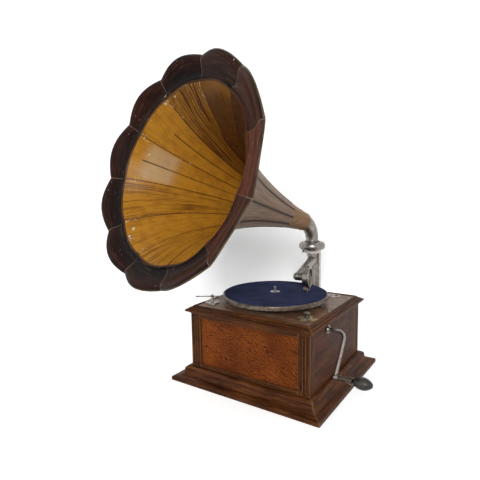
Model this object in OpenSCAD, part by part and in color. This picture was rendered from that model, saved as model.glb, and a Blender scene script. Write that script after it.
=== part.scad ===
// Table-top horn gramophone: moulded oak case with a clockwork motor, felt-covered turntable,
// side crank, swinging tonearm with a soundbox, and an eleven-petal horn on a bracket behind.
// Millimetres. +X is the crank side, +Y the back, +Z up. The origin is the middle of the base.

/* [Case] */
// Width of the panelled body, side to side
body_w = 318; // [312:1:330]
// Depth of the panelled body, front to back
body_d = 300; // [296:1:312]
// Height of the panels between the plinth and the top moulding
panel_h = 133; // [130:1:145]
// Thickness of the oak panels
panel_t = 12; // [10:0.5:13]
// Depth that the figured front panel is set back behind its frame
front_recess = 3; // [2:0.5:5]
// Height of the rail above the front panel
top_rail_h = 9; // [6:1:14]
// Height of the rail below the front panel
bottom_rail_h = 7; // [5:1:12]
// Width of the fluted face of a corner post
post_w = 28; // [24:1:34]
// Depth of a corner post behind its fluted face
post_t = 20; // [18:1:24]
// Radius of one flute in a corner post
flute_r = 2.6; // [2:0.1:3]
// Height of the plinth moulding
plinth_h = 34; // [30:1:40]
// Overhang of the plinth beyond the panels
plinth_out = 37.5; // [35:0.5:42]
// Thickness of the bottom board
bottom_t = 10; // [8:1:12]
// Overhang of the top moulding's lip beyond the panels
lip_out = 11; // [9:0.5:14]
// Width of the top moulding inside the panels' outer face
lip_in = 9; // [8.5:0.5:10]
// Thickness of the ledge that carries the motor board
ledge_h = 3; // [2.5:0.5:5]
// Thickness of the motor board
board_t = 14; // [12:0.5:16]

/* [Turntable] */
// Radius of the turntable's rim
platter_r = 131.5; // [129:0.5:133]
// Radius of the felt disc
felt_r = 127; // [122:0.5:127.5]
// Thickness of the felt disc
felt_t = 1.6; // [1.2:0.1:2.4]
// Gap between the motor board and the turntable's rim
platter_gap = 14; // [12.5:0.5:18]
// Height of the turntable's rim
platter_h = 11; // [9:0.5:14]
// Distance from the middle of the case forward to the spindle
spindle_fwd = 12; // [8:1:14]
// Radius of the pin that centres the record
pin_r = 3.6; // [3.5:0.05:3.65]
// Height of the record pin above the felt
pin_h = 14; // [10:1:16]

/* [Motor] */
// Free height between the two motor plates
motor_h = 105; // [100:1:110]
// Distance from the side of the case to the spring barrel's arbor
barrel_in = 73; // [73:0.5:79]
// Outer radius of the spring barrel
barrel_r = 42; // [38:0.5:43]
// Height of the spring barrel below its toothed flange
barrel_h = 26; // [22:1:30]
// Radius of the turntable spindle and of the barrel's arbor seat
spindle_r = 4; // [3.8:0.1:4.2]
// Thickness of the mainspring ribbon
spring_t = 1; // [0.8:0.1:1.4]
// Thickness of the bedplate under the motor board
bedplate_t = 3; // [2.5:0.5:4]
// Radius of the governor's disc
disc_r = 19; // [17:0.5:21]
// Radial clearance of every running fit
fit = 0.05; // [0.03:0.01:0.08]

/* [Crank] */
// Distance from the middle of the case forward to the crank's axis
crank_fwd = 59; // [57:0.5:62]
// Depth of the crank's axis below the top of the motor board
crank_drop = 28; // [27.5:0.5:30]
// Radius of the crank's rod
rod_r = 4; // [3.5:0.25:4.25]
// Throw of the crank, from its axis to the handle's axis
crank_throw = 97; // [88:1:102]
// Lean of the crank arm forward from straight down, in degrees
crank_lean = 36.6; // [0:0.2:45]
// Distance that the crank arm stands off from the case's side
crank_stand = 41; // [40:1:50]
// Length of the nickel ferrule
ferrule_l = 30; // [24:1:34]
// Length of the black grip
grip_l = 40; // [34:1:44]
// Largest radius of the black grip
grip_r = 13; // [11:0.5:15]

/* [Horn] */
// Number of petals
petals = 11; // [9:1:12]
// Length of the horn from its neck to the outer edge of the rim
horn_len = 484; // [460:1:500]
// Mean radius of the horn at the outer edge of the rim
mouth_r = 244.5; // [230:0.5:255]
// Width of the moulded rim, measured along the horn's radius
rim_w = 51; // [44:1:56]
// Depth of the moulded rim along the horn's axis
rim_d = 25; // [18:1:30]
// Height of a petal's crown above its seams at the outer edge
scallop = 13; // [8:0.5:18]
// Radius of the horn at its neck
neck_r = 26.5; // [25:0.5:30]
// Length of the plain neck cone
neck_len = 97; // [85:1:110]
// Thickness of the horn's sheet
sheet_t = 1.5; // [1.2:0.1:2]
// Rise of the horn's axis above level, in degrees
horn_rise = 16.4; // [12:0.2:22]
// Turn of the horn from straight ahead at rest, in degrees
horn_turn = -10.1; // [-30:0.1:30]

/* [Arm and bracket] */
// Distance from the middle of the case back to the tonearm's pivot
pivot_back = 208; // [204:1:214]
// Height of the tonearm's swivel flange above the felt
pivot_lift = 69.4; // [64:0.2:72]
// Radius of the bulging collar
collar_r = 38; // [34:0.5:42]
// Height of the bulging collar
collar_h = 24; // [20:0.5:28]
// Radius of the elbow's tube where it leaves the collar
elbow_r = 17; // [16:0.25:18]
// Radius of the elbow's tube where it meets the horn
elbow_end_r = 22; // [20:0.5:24]
// Bend radius of the elbow's centre line
elbow_bend = 58; // [50:1:66]
// Width of the bracket's upright
bracket_w = 31; // [26:1:36]
// Thickness of the bracket
bracket_t = 12; // [10:0.5:13]
// Turn of the tonearm from straight ahead at rest, in degrees
arm_turn = 12.5; // [8:0.1:20]
// Distance from the tonearm's pivot to the soundbox's axis
arm_len = 181; // [176:1:186]
// Sideways distance from the tonearm to the middle of the soundbox
crook_out = 26.5; // [25:0.5:30]
// Radius of the soundbox
soundbox_r = 28; // [26:0.5:30]
// Thickness of the soundbox
soundbox_t = 15; // [13:0.5:17]

/* [Hidden] */
$fn = 64;
seat = 0.3; // clearance between pieces that move past each other
snug = 0.02; // clearance of a piece fixed on its shaft

through = 500; // length of a cut that goes right through

// Controls, by their distance from the sides of the case
knob_in = [32, 53];
brake_in = [28, 50];
cup_in = [56, 32];

// Levels of the case
panel_z1 = plinth_h + panel_h;
board_z0 = panel_z1 + ledge_h;
board_z = board_z0 + board_t;
rim_z0 = board_z + platter_gap;
rim_z1 = rim_z0 + platter_h;
felt_z = rim_z1 + felt_t;
board_x = body_w / 2 - lip_in;
board_y = body_d / 2 - lip_in;
ledge_in = lip_in + 8;

// Plinth moulding: a fillet, a round, a cove, a weathered slope and a nose
plinth_flat = 4;
plinth_round = 10;
plinth_cove = 12;
plinth_nose = 3.5;

// Top moulding: a nose on the lip and three beads that step up to the board
lip_nose = 3.5;
lip_z1 = board_z - 6;
bead_1 = 2.5;
bead_2 = 2.3;
bead_3 = 2.7;

// Motor levels, from the bedplate down
bed_z0 = board_z0 - bedplate_t;
low_z1 = bed_z0 - motor_h;
low_t = 4;
low_z0 = low_z1 - low_t;
boss_h = 4;
gear_z = low_z1 + 30;
barrel_wall = 2;
barrel_z0 = gear_z - barrel_h;
flange_t = 4;
wheel_z = gear_z + 16;
gov_wheel_z = low_z1 + 13;

// Gear train: teeth and modules
mod_1 = 1;
mod_2 = 0.7;
teeth_barrel = 96;
teeth_mid_pinion = 16;
teeth_mid_wheel = 72;
teeth_spindle = 14;
teeth_gov_wheel = 84;
teeth_gov_pinion = 12;
teeth_contrate = 40;
teeth_wind = 12;

// Arbors, in plan: the middle arbor lies where both of its pairs of gears mesh
spindle_at = [0, -spindle_fwd];
crank_y = -crank_fwd;
crank_z = board_z - crank_drop;
barrel_x = body_w / 2 - barrel_in;
barrel_at = [barrel_x, crank_y];
mid_to_spindle = mod_1 * (teeth_mid_wheel + teeth_spindle) / 2;
mid_to_barrel = mod_1 * (teeth_barrel + teeth_mid_pinion) / 2;
span = norm(barrel_at - spindle_at);
along = (mid_to_spindle ^ 2 - mid_to_barrel ^ 2 + span ^ 2) / (2 * span);
aside = sqrt(mid_to_spindle ^ 2 - along ^ 2);
span_dir = (barrel_at - spindle_at) / span;
mid_at = spindle_at + along * span_dir + aside * [-span_dir[1], span_dir[0]];
gov_reach = mod_2 * (teeth_gov_wheel + teeth_gov_pinion) / 2;
gov_dir = -120;
gov_at = spindle_at + gov_reach * [cos(gov_dir), sin(gov_dir)];
mid_r = 3;
arbor_r = 5;
gov_r = 2.5;
wind_r = 3.5;

// Pillars between the motor plates, and the plates' fifth corner
pillar_r = 5;
pillars_at = [[-37, 12], [barrel_x + 26, 12], [30, -98], [-37, -82]];
plate_corner = [barrel_x + 26, -82];
bolt_r = 2;

// Winding gear: the pinion's pitch line runs on the contrate wheel's
wind_pitch_r = mod_1 * teeth_wind / 2;
contrate_pitch_z = crank_z - wind_pitch_r;
contrate_r = mod_1 * teeth_contrate / 2;
pinion_x = barrel_x + contrate_r - 2;
pinion_w = 4;
bearing_x = barrel_x + 26;
bearing_w = 5;
ratchet_x = bearing_x + bearing_w + 4;
ratchet_w = 4;
ratchet_r = 7;
ratchet_root = 5.2;
ratchet_teeth = 12;
pawl_at = [13, -6.5];
pawl_clear = 8; // degrees that the pawl stands off the ratchet
socket_x = ratchet_x + ratchet_w + 2;
socket_l = 18;

// Governor
disc_z = wheel_z + 26;
disc_t = 2;
disc_travel = 2;
weight_z = wheel_z + 3;
weight_r = 6;
weight_l = 7.5;
gov_collar_z = wheel_z - 18;

// Speed control: the knob's stem ends in a sloped cam that tips the speed arm
knob_at = [body_w / 2 - knob_in[0], knob_in[1] - body_d / 2];
pointer_lift = 3.6;
plate_4_r = 22.5;
stem_r = 3;
pad_off = 12.5;
pad_r = 4;
arm_t = 3;
arm_w = 8;
tip_gap = disc_travel + 1.2;
pad_z1 = disc_z - tip_gap;
speed_arm_z = pad_z1 - 1.8 - arm_t;
to_gov = gov_at - knob_at;
arm_dir = atan2(to_gov[1], to_gov[0]);
fulcrum = 100;
arm_unit = to_gov / norm(to_gov);
fulcrum_at = knob_at + fulcrum * arm_unit;
pad_at = gov_at - pad_off * arm_unit;
cam_r = 8;
cam_off = 6.5;
cam_slope = 14.9;
nub_r = 1.2;
nub_z = speed_arm_z + arm_t + 0.3;
cam_z = nub_z + (nub_r + seat) / cos(cam_slope);

// Brake: the lever points at the spindle, and its pad stops just short of the rim
brake_at = [brake_in[0] - body_w / 2, brake_in[1] - body_d / 2];
brake_plate_r = 18;
brake_z = rim_z0 + 2;
to_spindle = spindle_at - brake_at;
brake_dir = atan2(to_spindle[1], to_spindle[0]);
brake_reach = norm(to_spindle) - platter_r - 2 * seat;
brake_tail = 38;

// Needle cup
cup_at = [body_w / 2 - cup_in[0], body_d / 2 - cup_in[1]];
cup_r = 17;

// Crank
side_x = body_w / 2;
arm_x = side_x + crank_stand;
rod_bend = 16;
handle_x = arm_x + 3;
ferrule_r = 8;

// Horn frame: the elbow turns from straight up to the horn's rise
elbow_turn = 90 - horn_rise;
flange_z = felt_z + pivot_lift;
ring_h = 9;
swivel_h = 9;
ring_z = flange_z;
collar_z = ring_z + ring_h;
collar_z1 = collar_z + collar_h;
elbow_z = collar_z1 + 5;
elbow_wall = 1.6;
horn_s1 = horn_len - rim_d;
throat_r = mouth_r - rim_w;
flare_slow = 110.5;
flare_fast = throat_r - neck_r - flare_slow;
petal_arc = 360 / petals;
seam_first = 84;
petal_rings = 15;
petal_cols = 6;
seam_gap = 0.05;
seam_w = 4.5;
seam_t = 1.1;

// Bracket
swivel_r = 15;
ring_r = 21;
stub_r = 13;
bracket_y = pivot_back + swivel_r + 2;
foot_y = body_d / 2;
foot_z = 89;
foot_w = 56;
foot_h = 62;
foot_t = 6;
bracket_in_r = 22;

// Tonearm
arm_z = flange_z - swivel_h - 13;
arm_r0 = 13;
arm_r1 = 8.5;
arm_drop = 5;
soundbox_z = felt_z + soundbox_r + 7.4;
arm_end_z = soundbox_z;
arm_fall = atan2(arm_z - arm_end_z, arm_len);
needle_tip_z = felt_z + 0.4;
box_in = crook_out - soundbox_t / 2;

OAK = [0.30, 0.19, 0.12];
OAK_RED = [0.45, 0.24, 0.15];
NICKEL = [0.66, 0.63, 0.58];
BRASS = [0.72, 0.58, 0.30];
STEEL = [0.50, 0.50, 0.52];
IRON = [0.22, 0.22, 0.23];
FELT = [0.10, 0.13, 0.28];
OCHRE = [0.72, 0.50, 0.14];
RIM_BROWN = [0.20, 0.10, 0.09];

// Points of a spur gear, tooth by tooth: root, pitch and tip on each flank
function gear_points(teeth, m) =
    let (r = m * teeth / 2, half = 0.225 * PI * m, press = tan(20), foot = max(0, 1 - 17 / teeth),
        deg = 180 / (PI * r), root = half + 1.25 * m * press * foot, tip = half - m * press)
    [for (k = [0 : teeth - 1]) let (a = 360 * k / teeth) each [
        gear_point(r - 1.25 * m, a - root * deg), gear_point(r, a - half * deg),
        gear_point(r + m, a - tip * deg), gear_point(r + m, a + tip * deg),
        gear_point(r, a + half * deg), gear_point(r - 1.25 * m, a + root * deg)]];

function gear_point(r, a) = [r * cos(a), r * sin(a)];

// Turn of a gear that meshes with another one, which lies turned by turn_1
function mesh_turn(turn_1, teeth_1, teeth_2, toward) =
    toward + 180 - (turn_1 - toward) * teeth_1 / teeth_2 - 180 / teeth_2;

function heading(from, to) = atan2(to[1] - from[1], to[0] - from[0]);

mid_wheel_turn = mesh_turn(0, teeth_spindle, teeth_mid_wheel, heading(spindle_at, mid_at));
barrel_turn = mesh_turn(0, teeth_mid_pinion, teeth_barrel, heading(mid_at, barrel_at));
gov_turn = mesh_turn(0, teeth_gov_wheel, teeth_gov_pinion, gov_dir);

// Horn surface: mean outer radius at a distance s from the neck, and its slope
function horn_r(s) = let (x = s / horn_s1) neck_r + flare_slow * x ^ 1.52 + flare_fast * x ^ 5.7;
function horn_slope(s) = (horn_r(s + 0.5) - horn_r(s - 0.5));
function throat_scallop(s) = scallop * 0.45 * (s / horn_s1) ^ 2;
// Height of a petal at u, which runs from -1 at one seam to 1 at the next
function crown(u) = cos(90 * u) - 0.637;

module gear(teeth, m, h, bore) {
    linear_extrude(h) difference() {
        polygon(gear_points(teeth, m));
        circle(bore);
    }
}

module tube(h, r, bore) {
    linear_extrude(h) difference() {
        circle(r);
        circle(bore);
    }
}

// One side of a mitred frame, on the +Y side of the case, from its section [outward, up]
module mitred(length, dist, inner, outer, z1) {
    intersection() {
        translate([0, dist, 0]) rotate([90, 0, 90])
            linear_extrude(length + 2 * outer + 2, center = true) children();
        linear_extrude(z1) polygon([
            [-length / 2 + inner, dist - inner], [length / 2 - inner, dist - inner],
            [length / 2 + outer, dist + outer], [-length / 2 - outer, dist + outer]]);
    }
}

module plinth_section() {
    round_x = plinth_flat + plinth_round;
    cove_x = round_x + plinth_cove;
    round_z = plinth_h - plinth_round;
    cove_z = round_z - plinth_cove;
    nose_x = plinth_out - plinth_nose;
    translate([-panel_t, 0]) square([panel_t + plinth_flat, plinth_h]);
    translate([-panel_t, 0]) square([panel_t + round_x, round_z]);
    translate([plinth_flat, round_z]) circle(plinth_round);
    difference() {
        square([cove_x, round_z]);
        translate([cove_x, round_z]) circle(plinth_cove);
    }
    polygon([[0, 0], [nose_x, 0], [nose_x, cove_z - 2], [cove_x, cove_z], [0, cove_z]]);
    translate([nose_x, cove_z - 2 - plinth_nose]) circle(plinth_nose);
    square([plinth_out, cove_z - 2 - plinth_nose]);
}

module top_section() {
    lip_z0 = lip_z1 - 2 * lip_nose;
    cove = lip_z0 - panel_z1;
    translate([-lip_in, panel_z1]) square([lip_in + 2, lip_z1 - panel_z1]);
    translate([-ledge_in, panel_z1]) square([ledge_in, ledge_h]);
    difference() {
        translate([0, panel_z1]) square([cove + 2, cove]);
        translate([cove + 2, panel_z1]) circle(cove);
    }
    translate([0, lip_z0]) square([lip_out - lip_nose, 2 * lip_nose]);
    translate([lip_out - lip_nose, lip_z0 + lip_nose]) circle(lip_nose);
    translate([2, board_z - 5]) circle(bead_1);
    translate([-2.8, board_z - 2.5]) circle(bead_2);
    translate([bead_3 - lip_in, board_z - 0.4]) circle(bead_3);
    translate([-lip_in, panel_z1]) square([lip_in + 2, board_z - 4 - panel_z1]);
    translate([-lip_in, panel_z1]) square([lip_in - 2.8, board_z - 2 - panel_z1]);
}

module plinth_side(length, dist) {
    color(OAK) mitred(length, dist, panel_t, plinth_out, plinth_h) plinth_section();
}

module top_side(length, dist) {
    color(OAK) mitred(length, dist, ledge_in, lip_out, board_z + bead_3) top_section();
}

module plinth_front() { rotate(180) plinth_side(body_w, body_d / 2); }
module plinth_back() { plinth_side(body_w, body_d / 2); }
module plinth_left() { rotate(90) plinth_side(body_d, body_w / 2); }
module plinth_right() { rotate(-90) plinth_side(body_d, body_w / 2); }
module top_moulding_front() { rotate(180) top_side(body_w, body_d / 2); }
module top_moulding_back() { top_side(body_w, body_d / 2); }

screw_x = body_w / 2 - lip_in - 4;
screw_ys = [-20, 110];

module top_moulding_left() {
    difference() {
        rotate(90) top_side(body_d, body_w / 2);
        board_screw_places() cylinder(h = board_z, r = 1.85);
    }
}

module top_moulding_right() {
    difference() {
        rotate(-90) top_side(body_d, body_w / 2);
        board_screw_places() cylinder(h = board_z, r = 1.85);
    }
}

module bottom_board() {
    color(OAK) translate([-body_w / 2 + panel_t, -body_d / 2 + panel_t, 0])
        cube([body_w - 2 * panel_t, body_d - 2 * panel_t, bottom_t]);
}

front_y = -body_d / 2;
post_in = body_w / 2 - post_w;

module front_panel() {
    color(OAK_RED) translate([-post_in, front_y + front_recess, plinth_h + bottom_rail_h])
        cube([2 * post_in, post_t - 10, panel_h - bottom_rail_h - top_rail_h]);
}

module front_rails() {
    color(OAK) {
        translate([-post_in, front_y, plinth_h]) cube([2 * post_in, post_t - 6, bottom_rail_h]);
        translate([-post_in, front_y, panel_z1 - top_rail_h]) cube([2 * post_in, post_t - 6, top_rail_h]);
    }
}

module back_panel() {
    color(OAK) difference() {
        translate([-body_w / 2 + post_t, body_d / 2 - panel_t, plinth_h])
            cube([body_w - 2 * post_t, panel_t, panel_h]);
        foot_screw_places() cylinder(h = 30, r = 2.05, center = true);
    }
}

side_y0 = front_y + post_t;
side_y1 = body_d / 2 - post_w;

// A side panel, with the fine line of its rear stile
module side_panel() {
    color(OAK) difference() {
        translate([body_w / 2 - panel_t, side_y0, plinth_h]) cube([panel_t, side_y1 - side_y0, panel_h]);
        translate([body_w / 2 - 1, side_y1 - 33, plinth_h - 1]) cube([2, 1.2, panel_h + 2]);
    }
}

module left_panel() { mirror([1, 0, 0]) side_panel(); }

module right_panel() {
    difference() {
        side_panel();
        translate([0, crank_y, crank_z]) rotate([0, 90, 0]) cylinder(h = 200, r = rod_r + 3);
    }
}

// Corner posts: the front pair is fluted on its front face, the rear pair on its side face
module fluted_post(w, depth) {
    difference() {
        cube([w, depth, panel_h]);
        for (i = [-1 : 1]) translate([w / 2 + i * w / 4, 0, 0]) {
            translate([0, 0, 11]) cylinder(h = panel_h - 22, r = flute_r);
            for (z = [11, panel_h - 11]) translate([0, 0, z]) sphere(flute_r);
        }
    }
}

module corner_posts() {
    color(OAK) for (side = [0, 1]) mirror([side, 0, 0]) {
        translate([post_in, front_y, plinth_h]) fluted_post(post_w, post_t);
        translate([body_w / 2, body_d / 2 - post_w, plinth_h]) rotate(90) fluted_post(post_w, post_t);
    }
}

module board_screw_places() {
    for (x = [-1, 1], y = screw_ys) translate([x * screw_x, y, 0]) children();
}

// Slotted wood screw that stands on its tip, with a head above the shank
module wood_screw(shank, head) {
    cylinder(h = shank, r = 1.8);
    difference() {
        translate([0, 0, shank]) cylinder(h = head, r1 = 4, r2 = 2.8);
        translate([-5, -0.4, shank + head - 0.8]) cube([10, 0.8, 2]);
    }
}

module case_screws() {
    color(BRASS) {
        board_screw_places() translate([0, 0, panel_z1 + 0.3]) wood_screw(board_z - panel_z1 - 0.3, 1.8);
        foot_screw_places() translate([0, 0, panel_t - 1]) mirror([0, 0, 1])
            wood_screw(foot_t + panel_t - 1, 1.8);
    }
}

module motor_board() {
    color(OAK) difference() {
        translate([-board_x, -board_y, board_z0]) cube([2 * board_x, 2 * board_y, board_t]);
        translate([spindle_at[0], spindle_at[1], 0]) cylinder(h = through, r = 12);
        translate([knob_at[0], knob_at[1], 0]) cylinder(h = through, r = stem_r + 1);
        translate([cup_at[0], cup_at[1], 0]) cylinder(h = through, r = cup_r - 3);
        translate([brake_at[0], brake_at[1], board_z - 8]) cylinder(h = 30, r = 2.5);
        board_screw_places() cylinder(h = through, r = 2);
        pillar_places() cylinder(h = through, r = bolt_r + 0.2);
    }
}

module pillar_places() {
    for (p = pillars_at) translate([p[0], p[1], 0]) children();
}

module plate_outline() {
    hull() for (p = concat(pillars_at, [plate_corner])) translate(p) circle(9, $fn = 32);
}

module at(p) { translate([p[0], p[1], 0]) children(); }

module bore_through(r) { cylinder(h = through, r = r + fit); }

module motor_bedplate() {
    color(IRON) difference() {
        union() {
            translate([0, 0, bed_z0]) linear_extrude(bedplate_t) plate_outline();
            at(spindle_at) translate([0, 0, bed_z0 - boss_h]) cylinder(h = boss_h, r = spindle_r + 4);
            at(mid_at) translate([0, 0, bed_z0 - boss_h]) cylinder(h = boss_h, r = mid_r + 4);
            at(barrel_at) translate([0, 0, bed_z0 - boss_h]) cylinder(h = boss_h, r = arbor_r + 4);
            at(gov_at) translate([0, 0, bed_z0 - boss_h]) cylinder(h = boss_h, r = gov_r + 4);
            winding_bearing();
        }
        at(spindle_at) bore_through(spindle_r);
        at(mid_at) bore_through(mid_r);
        at(barrel_at) bore_through(arbor_r);
        at(gov_at) bore_through(gov_r);
        pillar_places() cylinder(h = through, r = bolt_r + 0.1);
        translate([bearing_x - 1, crank_y, crank_z]) rotate([0, 90, 0])
            cylinder(h = bearing_w + 2, r = wind_r + fit);
    }
}

// Bearing for the winding shaft, with the stud that the pawl turns on
module winding_bearing() {
    translate([bearing_x, crank_y - 9, crank_z - 12]) cube([bearing_w, 28, bed_z0 + 1 - crank_z + 12]);
    translate([bearing_x, crank_y + pawl_at[0], crank_z + pawl_at[1]]) rotate([0, 90, 0])
        cylinder(h = ratchet_x + ratchet_w + 1.5 - bearing_x, r = 1.5);
}

module motor_lower_plate() {
    color(IRON) difference() {
        union() {
            translate([0, 0, low_z0]) linear_extrude(low_t) plate_outline();
            for (p = [spindle_at, mid_at, barrel_at, gov_at])
                at(p) translate([0, 0, low_z0 - boss_h]) cylinder(h = boss_h, r = 9);
        }
        at(spindle_at) translate([0, 0, low_z0 - 3]) bore_through(spindle_r);
        at(mid_at) translate([0, 0, low_z0 - 3]) bore_through(mid_r);
        at(barrel_at) translate([0, 0, low_z0 - 3]) bore_through(arbor_r);
        at(gov_at) translate([0, 0, low_z0 - 3]) bore_through(gov_r);
        pillar_places() cylinder(h = through, r = bolt_r + 0.1);
    }
}

foot_lift = low_z0 - 3 + seat;

// Pillars with their nuts, and the round-headed bolts that hang them from the motor board
module motor_pillars() {
    color(STEEL) pillar_places() {
        difference() {
            translate([0, 0, low_z1]) cylinder(h = motor_h, r = pillar_r);
            translate([0, 0, bed_z0 - 14]) cylinder(h = 20, r = bolt_r + snug);
        }
        translate([0, 0, low_z0 - 4]) cylinder(h = low_t + 4.5, r = bolt_r);
        translate([0, 0, low_z0 - 3.5]) tube(3.5, pillar_r, bolt_r - 0.2);
        translate([0, 0, bed_z0 - 12]) cylinder(h = board_z - bed_z0 + 12, r = bolt_r);
        difference() {
            intersection() {
                translate([0, 0, board_z - 3]) sphere(6);
                translate([0, 0, board_z]) cylinder(h = 6, r = 6);
            }
            translate([-7, -0.5, board_z + 1.8]) cube([14, 1, 4]);
        }
    }
}

hub_z0 = rim_z0 - 5;

// Spindle, cut with its pinion, with the washer that covers the felt's hole and the record's pin
module spindle() {
    color(STEEL) at(spindle_at) {
        translate([0, 0, foot_lift]) cylinder(h = felt_z - foot_lift, r = spindle_r);
        translate([0, 0, wheel_z - 3]) linear_extrude(9) polygon(gear_points(teeth_spindle, mod_1));
        translate([0, 0, hub_z0 - 3]) cylinder(h = 3, r = spindle_r + 5);
        translate([0, 0, felt_z]) cylinder(h = 1, r = 12);
        translate([0, 0, felt_z]) cylinder(h = pin_h - pin_r / 2, r = pin_r);
        translate([0, 0, felt_z + pin_h - pin_r / 2]) cylinder(h = pin_r / 2, r1 = pin_r, r2 = pin_r * 0.55);
    }
}

module governor_wheel() {
    color(BRASS) at(spindle_at) {
        translate([0, 0, gov_wheel_z]) gear(teeth_gov_wheel, mod_2, 3, spindle_r + 2);
        translate([0, 0, gov_wheel_z - 3]) tube(9, 9, spindle_r + snug);
    }
}

module turntable_platter() {
    color(NICKEL) at(spindle_at) rotate_extrude() difference() {
        union() {
            translate([0, rim_z1 - 3]) square([platter_r - 2.5, 3]);
            translate([platter_r - 3, rim_z0 + 1.5]) square([3, platter_h - 4]);
            translate([platter_r - 2.5, rim_z1 - 2.5]) circle(2.5);
            translate([platter_r - 1.8, rim_z0 + 1.8]) circle(1.8);
            translate([0, hub_z0]) square([14, platter_h + 3]);
        }
        translate([0, hub_z0 - 1]) square([spindle_r + snug, 40]);
    }
}

module turntable_felt() {
    color(FELT) at(spindle_at) translate([0, 0, rim_z1]) tube(felt_t, felt_r, spindle_r + 0.5);
}

module middle_arbor() {
    color(STEEL) at(mid_at) {
        translate([0, 0, foot_lift]) cylinder(h = board_z0 - 0.3 - foot_lift, r = mid_r);
        translate([0, 0, gear_z - 2]) linear_extrude(10) polygon(gear_points(teeth_mid_pinion, mod_1));
    }
}

module middle_wheel() {
    color(BRASS) at(mid_at) rotate(mid_wheel_turn) {
        difference() {
            translate([0, 0, wheel_z]) gear(teeth_mid_wheel, mod_1, 3, mid_r + snug);
            for (k = [0 : 4]) rotate(72 * k) translate([21, 0, 0]) cylinder(h = through, r = 8);
        }
        translate([0, 0, wheel_z + 3]) tube(3, 7, mid_r + snug);
    }
}

module spring_barrel() {
    top = gear_z + flange_t - 0.5;
    color(BRASS) at(barrel_at) {
        rotate_extrude() difference() {
            translate([arbor_r + fit, barrel_z0]) square([barrel_r - arbor_r - fit, top - barrel_z0]);
            translate([0, barrel_z0 + barrel_wall])
                square([barrel_r - barrel_wall, top - barrel_z0 - 2 * barrel_wall]);
        }
        translate([0, 0, gear_z]) rotate(barrel_turn)
            gear(teeth_barrel, mod_1, flange_t, barrel_r - barrel_wall / 2);
    }
}

// Mainspring: a ribbon wound from the arbor's hook outwards to the barrel's wall
module mainspring() {
    coils = 9;
    steps = 24;
    r0 = arbor_r + 6.5;
    r1 = barrel_r - barrel_wall - spring_t - 0.4;
    turns = [for (i = [0 : coils * steps]) let (f = i / (coils * steps))
        [r0 + (r1 - r0) * f, 360 * coils * f]];
    color(STEEL) at(barrel_at) translate([0, 0, barrel_z0 + barrel_wall + 0.3])
        linear_extrude(gear_z - barrel_z0 - barrel_wall - 1) polygon(concat(
            [for (t = turns) t[0] * [cos(t[1]), sin(t[1])]],
            [for (i = [len(turns) - 1 : -1 : 0])
                (turns[i][0] + spring_t) * [cos(turns[i][1]), sin(turns[i][1])]]));
}

module barrel_arbor() {
    color(STEEL) at(barrel_at) {
        translate([0, 0, foot_lift]) cylinder(h = board_z0 - 0.3 - foot_lift, r = arbor_r);
        translate([0, 0, barrel_z0 + barrel_wall + 0.5]) cylinder(h = barrel_h - 4, r = arbor_r + 5);
    }
}

module contrate_wheel() {
    disc_z1 = contrate_pitch_z - 1.4;
    color(BRASS) at(barrel_at) {
        translate([0, 0, disc_z1 - 3]) tube(3, contrate_r + 3.5, arbor_r + snug);
        translate([0, 0, disc_z1 - 8]) tube(5, arbor_r + 4, arbor_r + snug);
        for (k = [0 : teeth_contrate - 1]) rotate(360 * k / teeth_contrate)
            translate([contrate_r - 3, 0, disc_z1 - 0.1]) rotate([90, 0, 90])
                linear_extrude(6) polygon([[-0.7, 0], [0.7, 0], [0.3, 2.2], [-0.3, 2.2]]);
    }
}

module on_crank_axis(x) { translate([x, crank_y, crank_z]) rotate([0, 90, 0]) children(); }

// Winding shaft: its pinion, the ratchet with radial faces that the pawl butts against, the socket
module winding_shaft() {
    pitch = 360 / ratchet_teeth;
    color(STEEL) {
        on_crank_axis(pinion_x - 6) cylinder(h = socket_x + 1 - pinion_x + 6, r = wind_r);
        on_crank_axis(pinion_x) rotate(180 / teeth_wind) linear_extrude(pinion_w)
            polygon(gear_points(teeth_wind, mod_1));
        on_crank_axis(ratchet_x) rotate(90) linear_extrude(ratchet_w)
            polygon([for (k = [0 : ratchet_teeth - 1])
                each [gear_point(ratchet_r, k * pitch), gear_point(ratchet_root, k * pitch)]]);
        on_crank_axis(socket_x) difference() {
            cylinder(h = socket_l, r = rod_r + 3);
            translate([0, 0, 3]) cylinder(h = socket_l, r = rod_r + snug);
        }
    }
}

module ratchet_pawl() {
    color(STEEL) translate([ratchet_x, crank_y, crank_z]) rotate([90, 0, 90])
        translate(pawl_at) rotate(pawl_clear) difference() {
            union() {
                translate(-pawl_at) linear_extrude(ratchet_w)
                    polygon([[0.35, -5.65], [3.7, -6.5], [12.4, -3.8],
                        [12.4, -9.2], [1, -8.2], [0.35, -7.4]]);
                cylinder(h = ratchet_w, r = 3);
            }
            translate([0, 0, -1]) cylinder(h = ratchet_w + 2, r = 1.5 + fit);
        }
}

module governor_shaft() {
    color(STEEL) at(gov_at) {
        translate([0, 0, foot_lift]) cylinder(h = board_z0 - 0.3 - foot_lift, r = gov_r);
        translate([0, 0, gov_wheel_z - 3]) rotate(gov_turn) linear_extrude(9)
            polygon(gear_points(teeth_gov_pinion, mod_2));
        translate([0, 0, gov_collar_z]) cylinder(h = 8, r = 7);
    }
}

module thirds() { for (k = [0 : 2]) rotate(120 * k) children(); }

// Three leaf springs, each with a weight screwed to its middle
module governor_weights() {
    color(BRASS) at(gov_at) thirds() {
        translate([7.1, -3, gov_collar_z + 1])
            cube([0.7, 6, disc_z - disc_travel - 0.5 - gov_collar_z - 1]);
        translate([7.5, 0, weight_z]) rotate([0, 90, 0]) cylinder(h = weight_l, r = weight_r);
    }
}

module governor_disc() {
    color(BRASS) at(gov_at) {
        translate([0, 0, disc_z]) tube(disc_t, disc_r, gov_r + fit);
        translate([0, 0, disc_z - 8]) tube(8, 7, gov_r + fit);
    }
}

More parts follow.
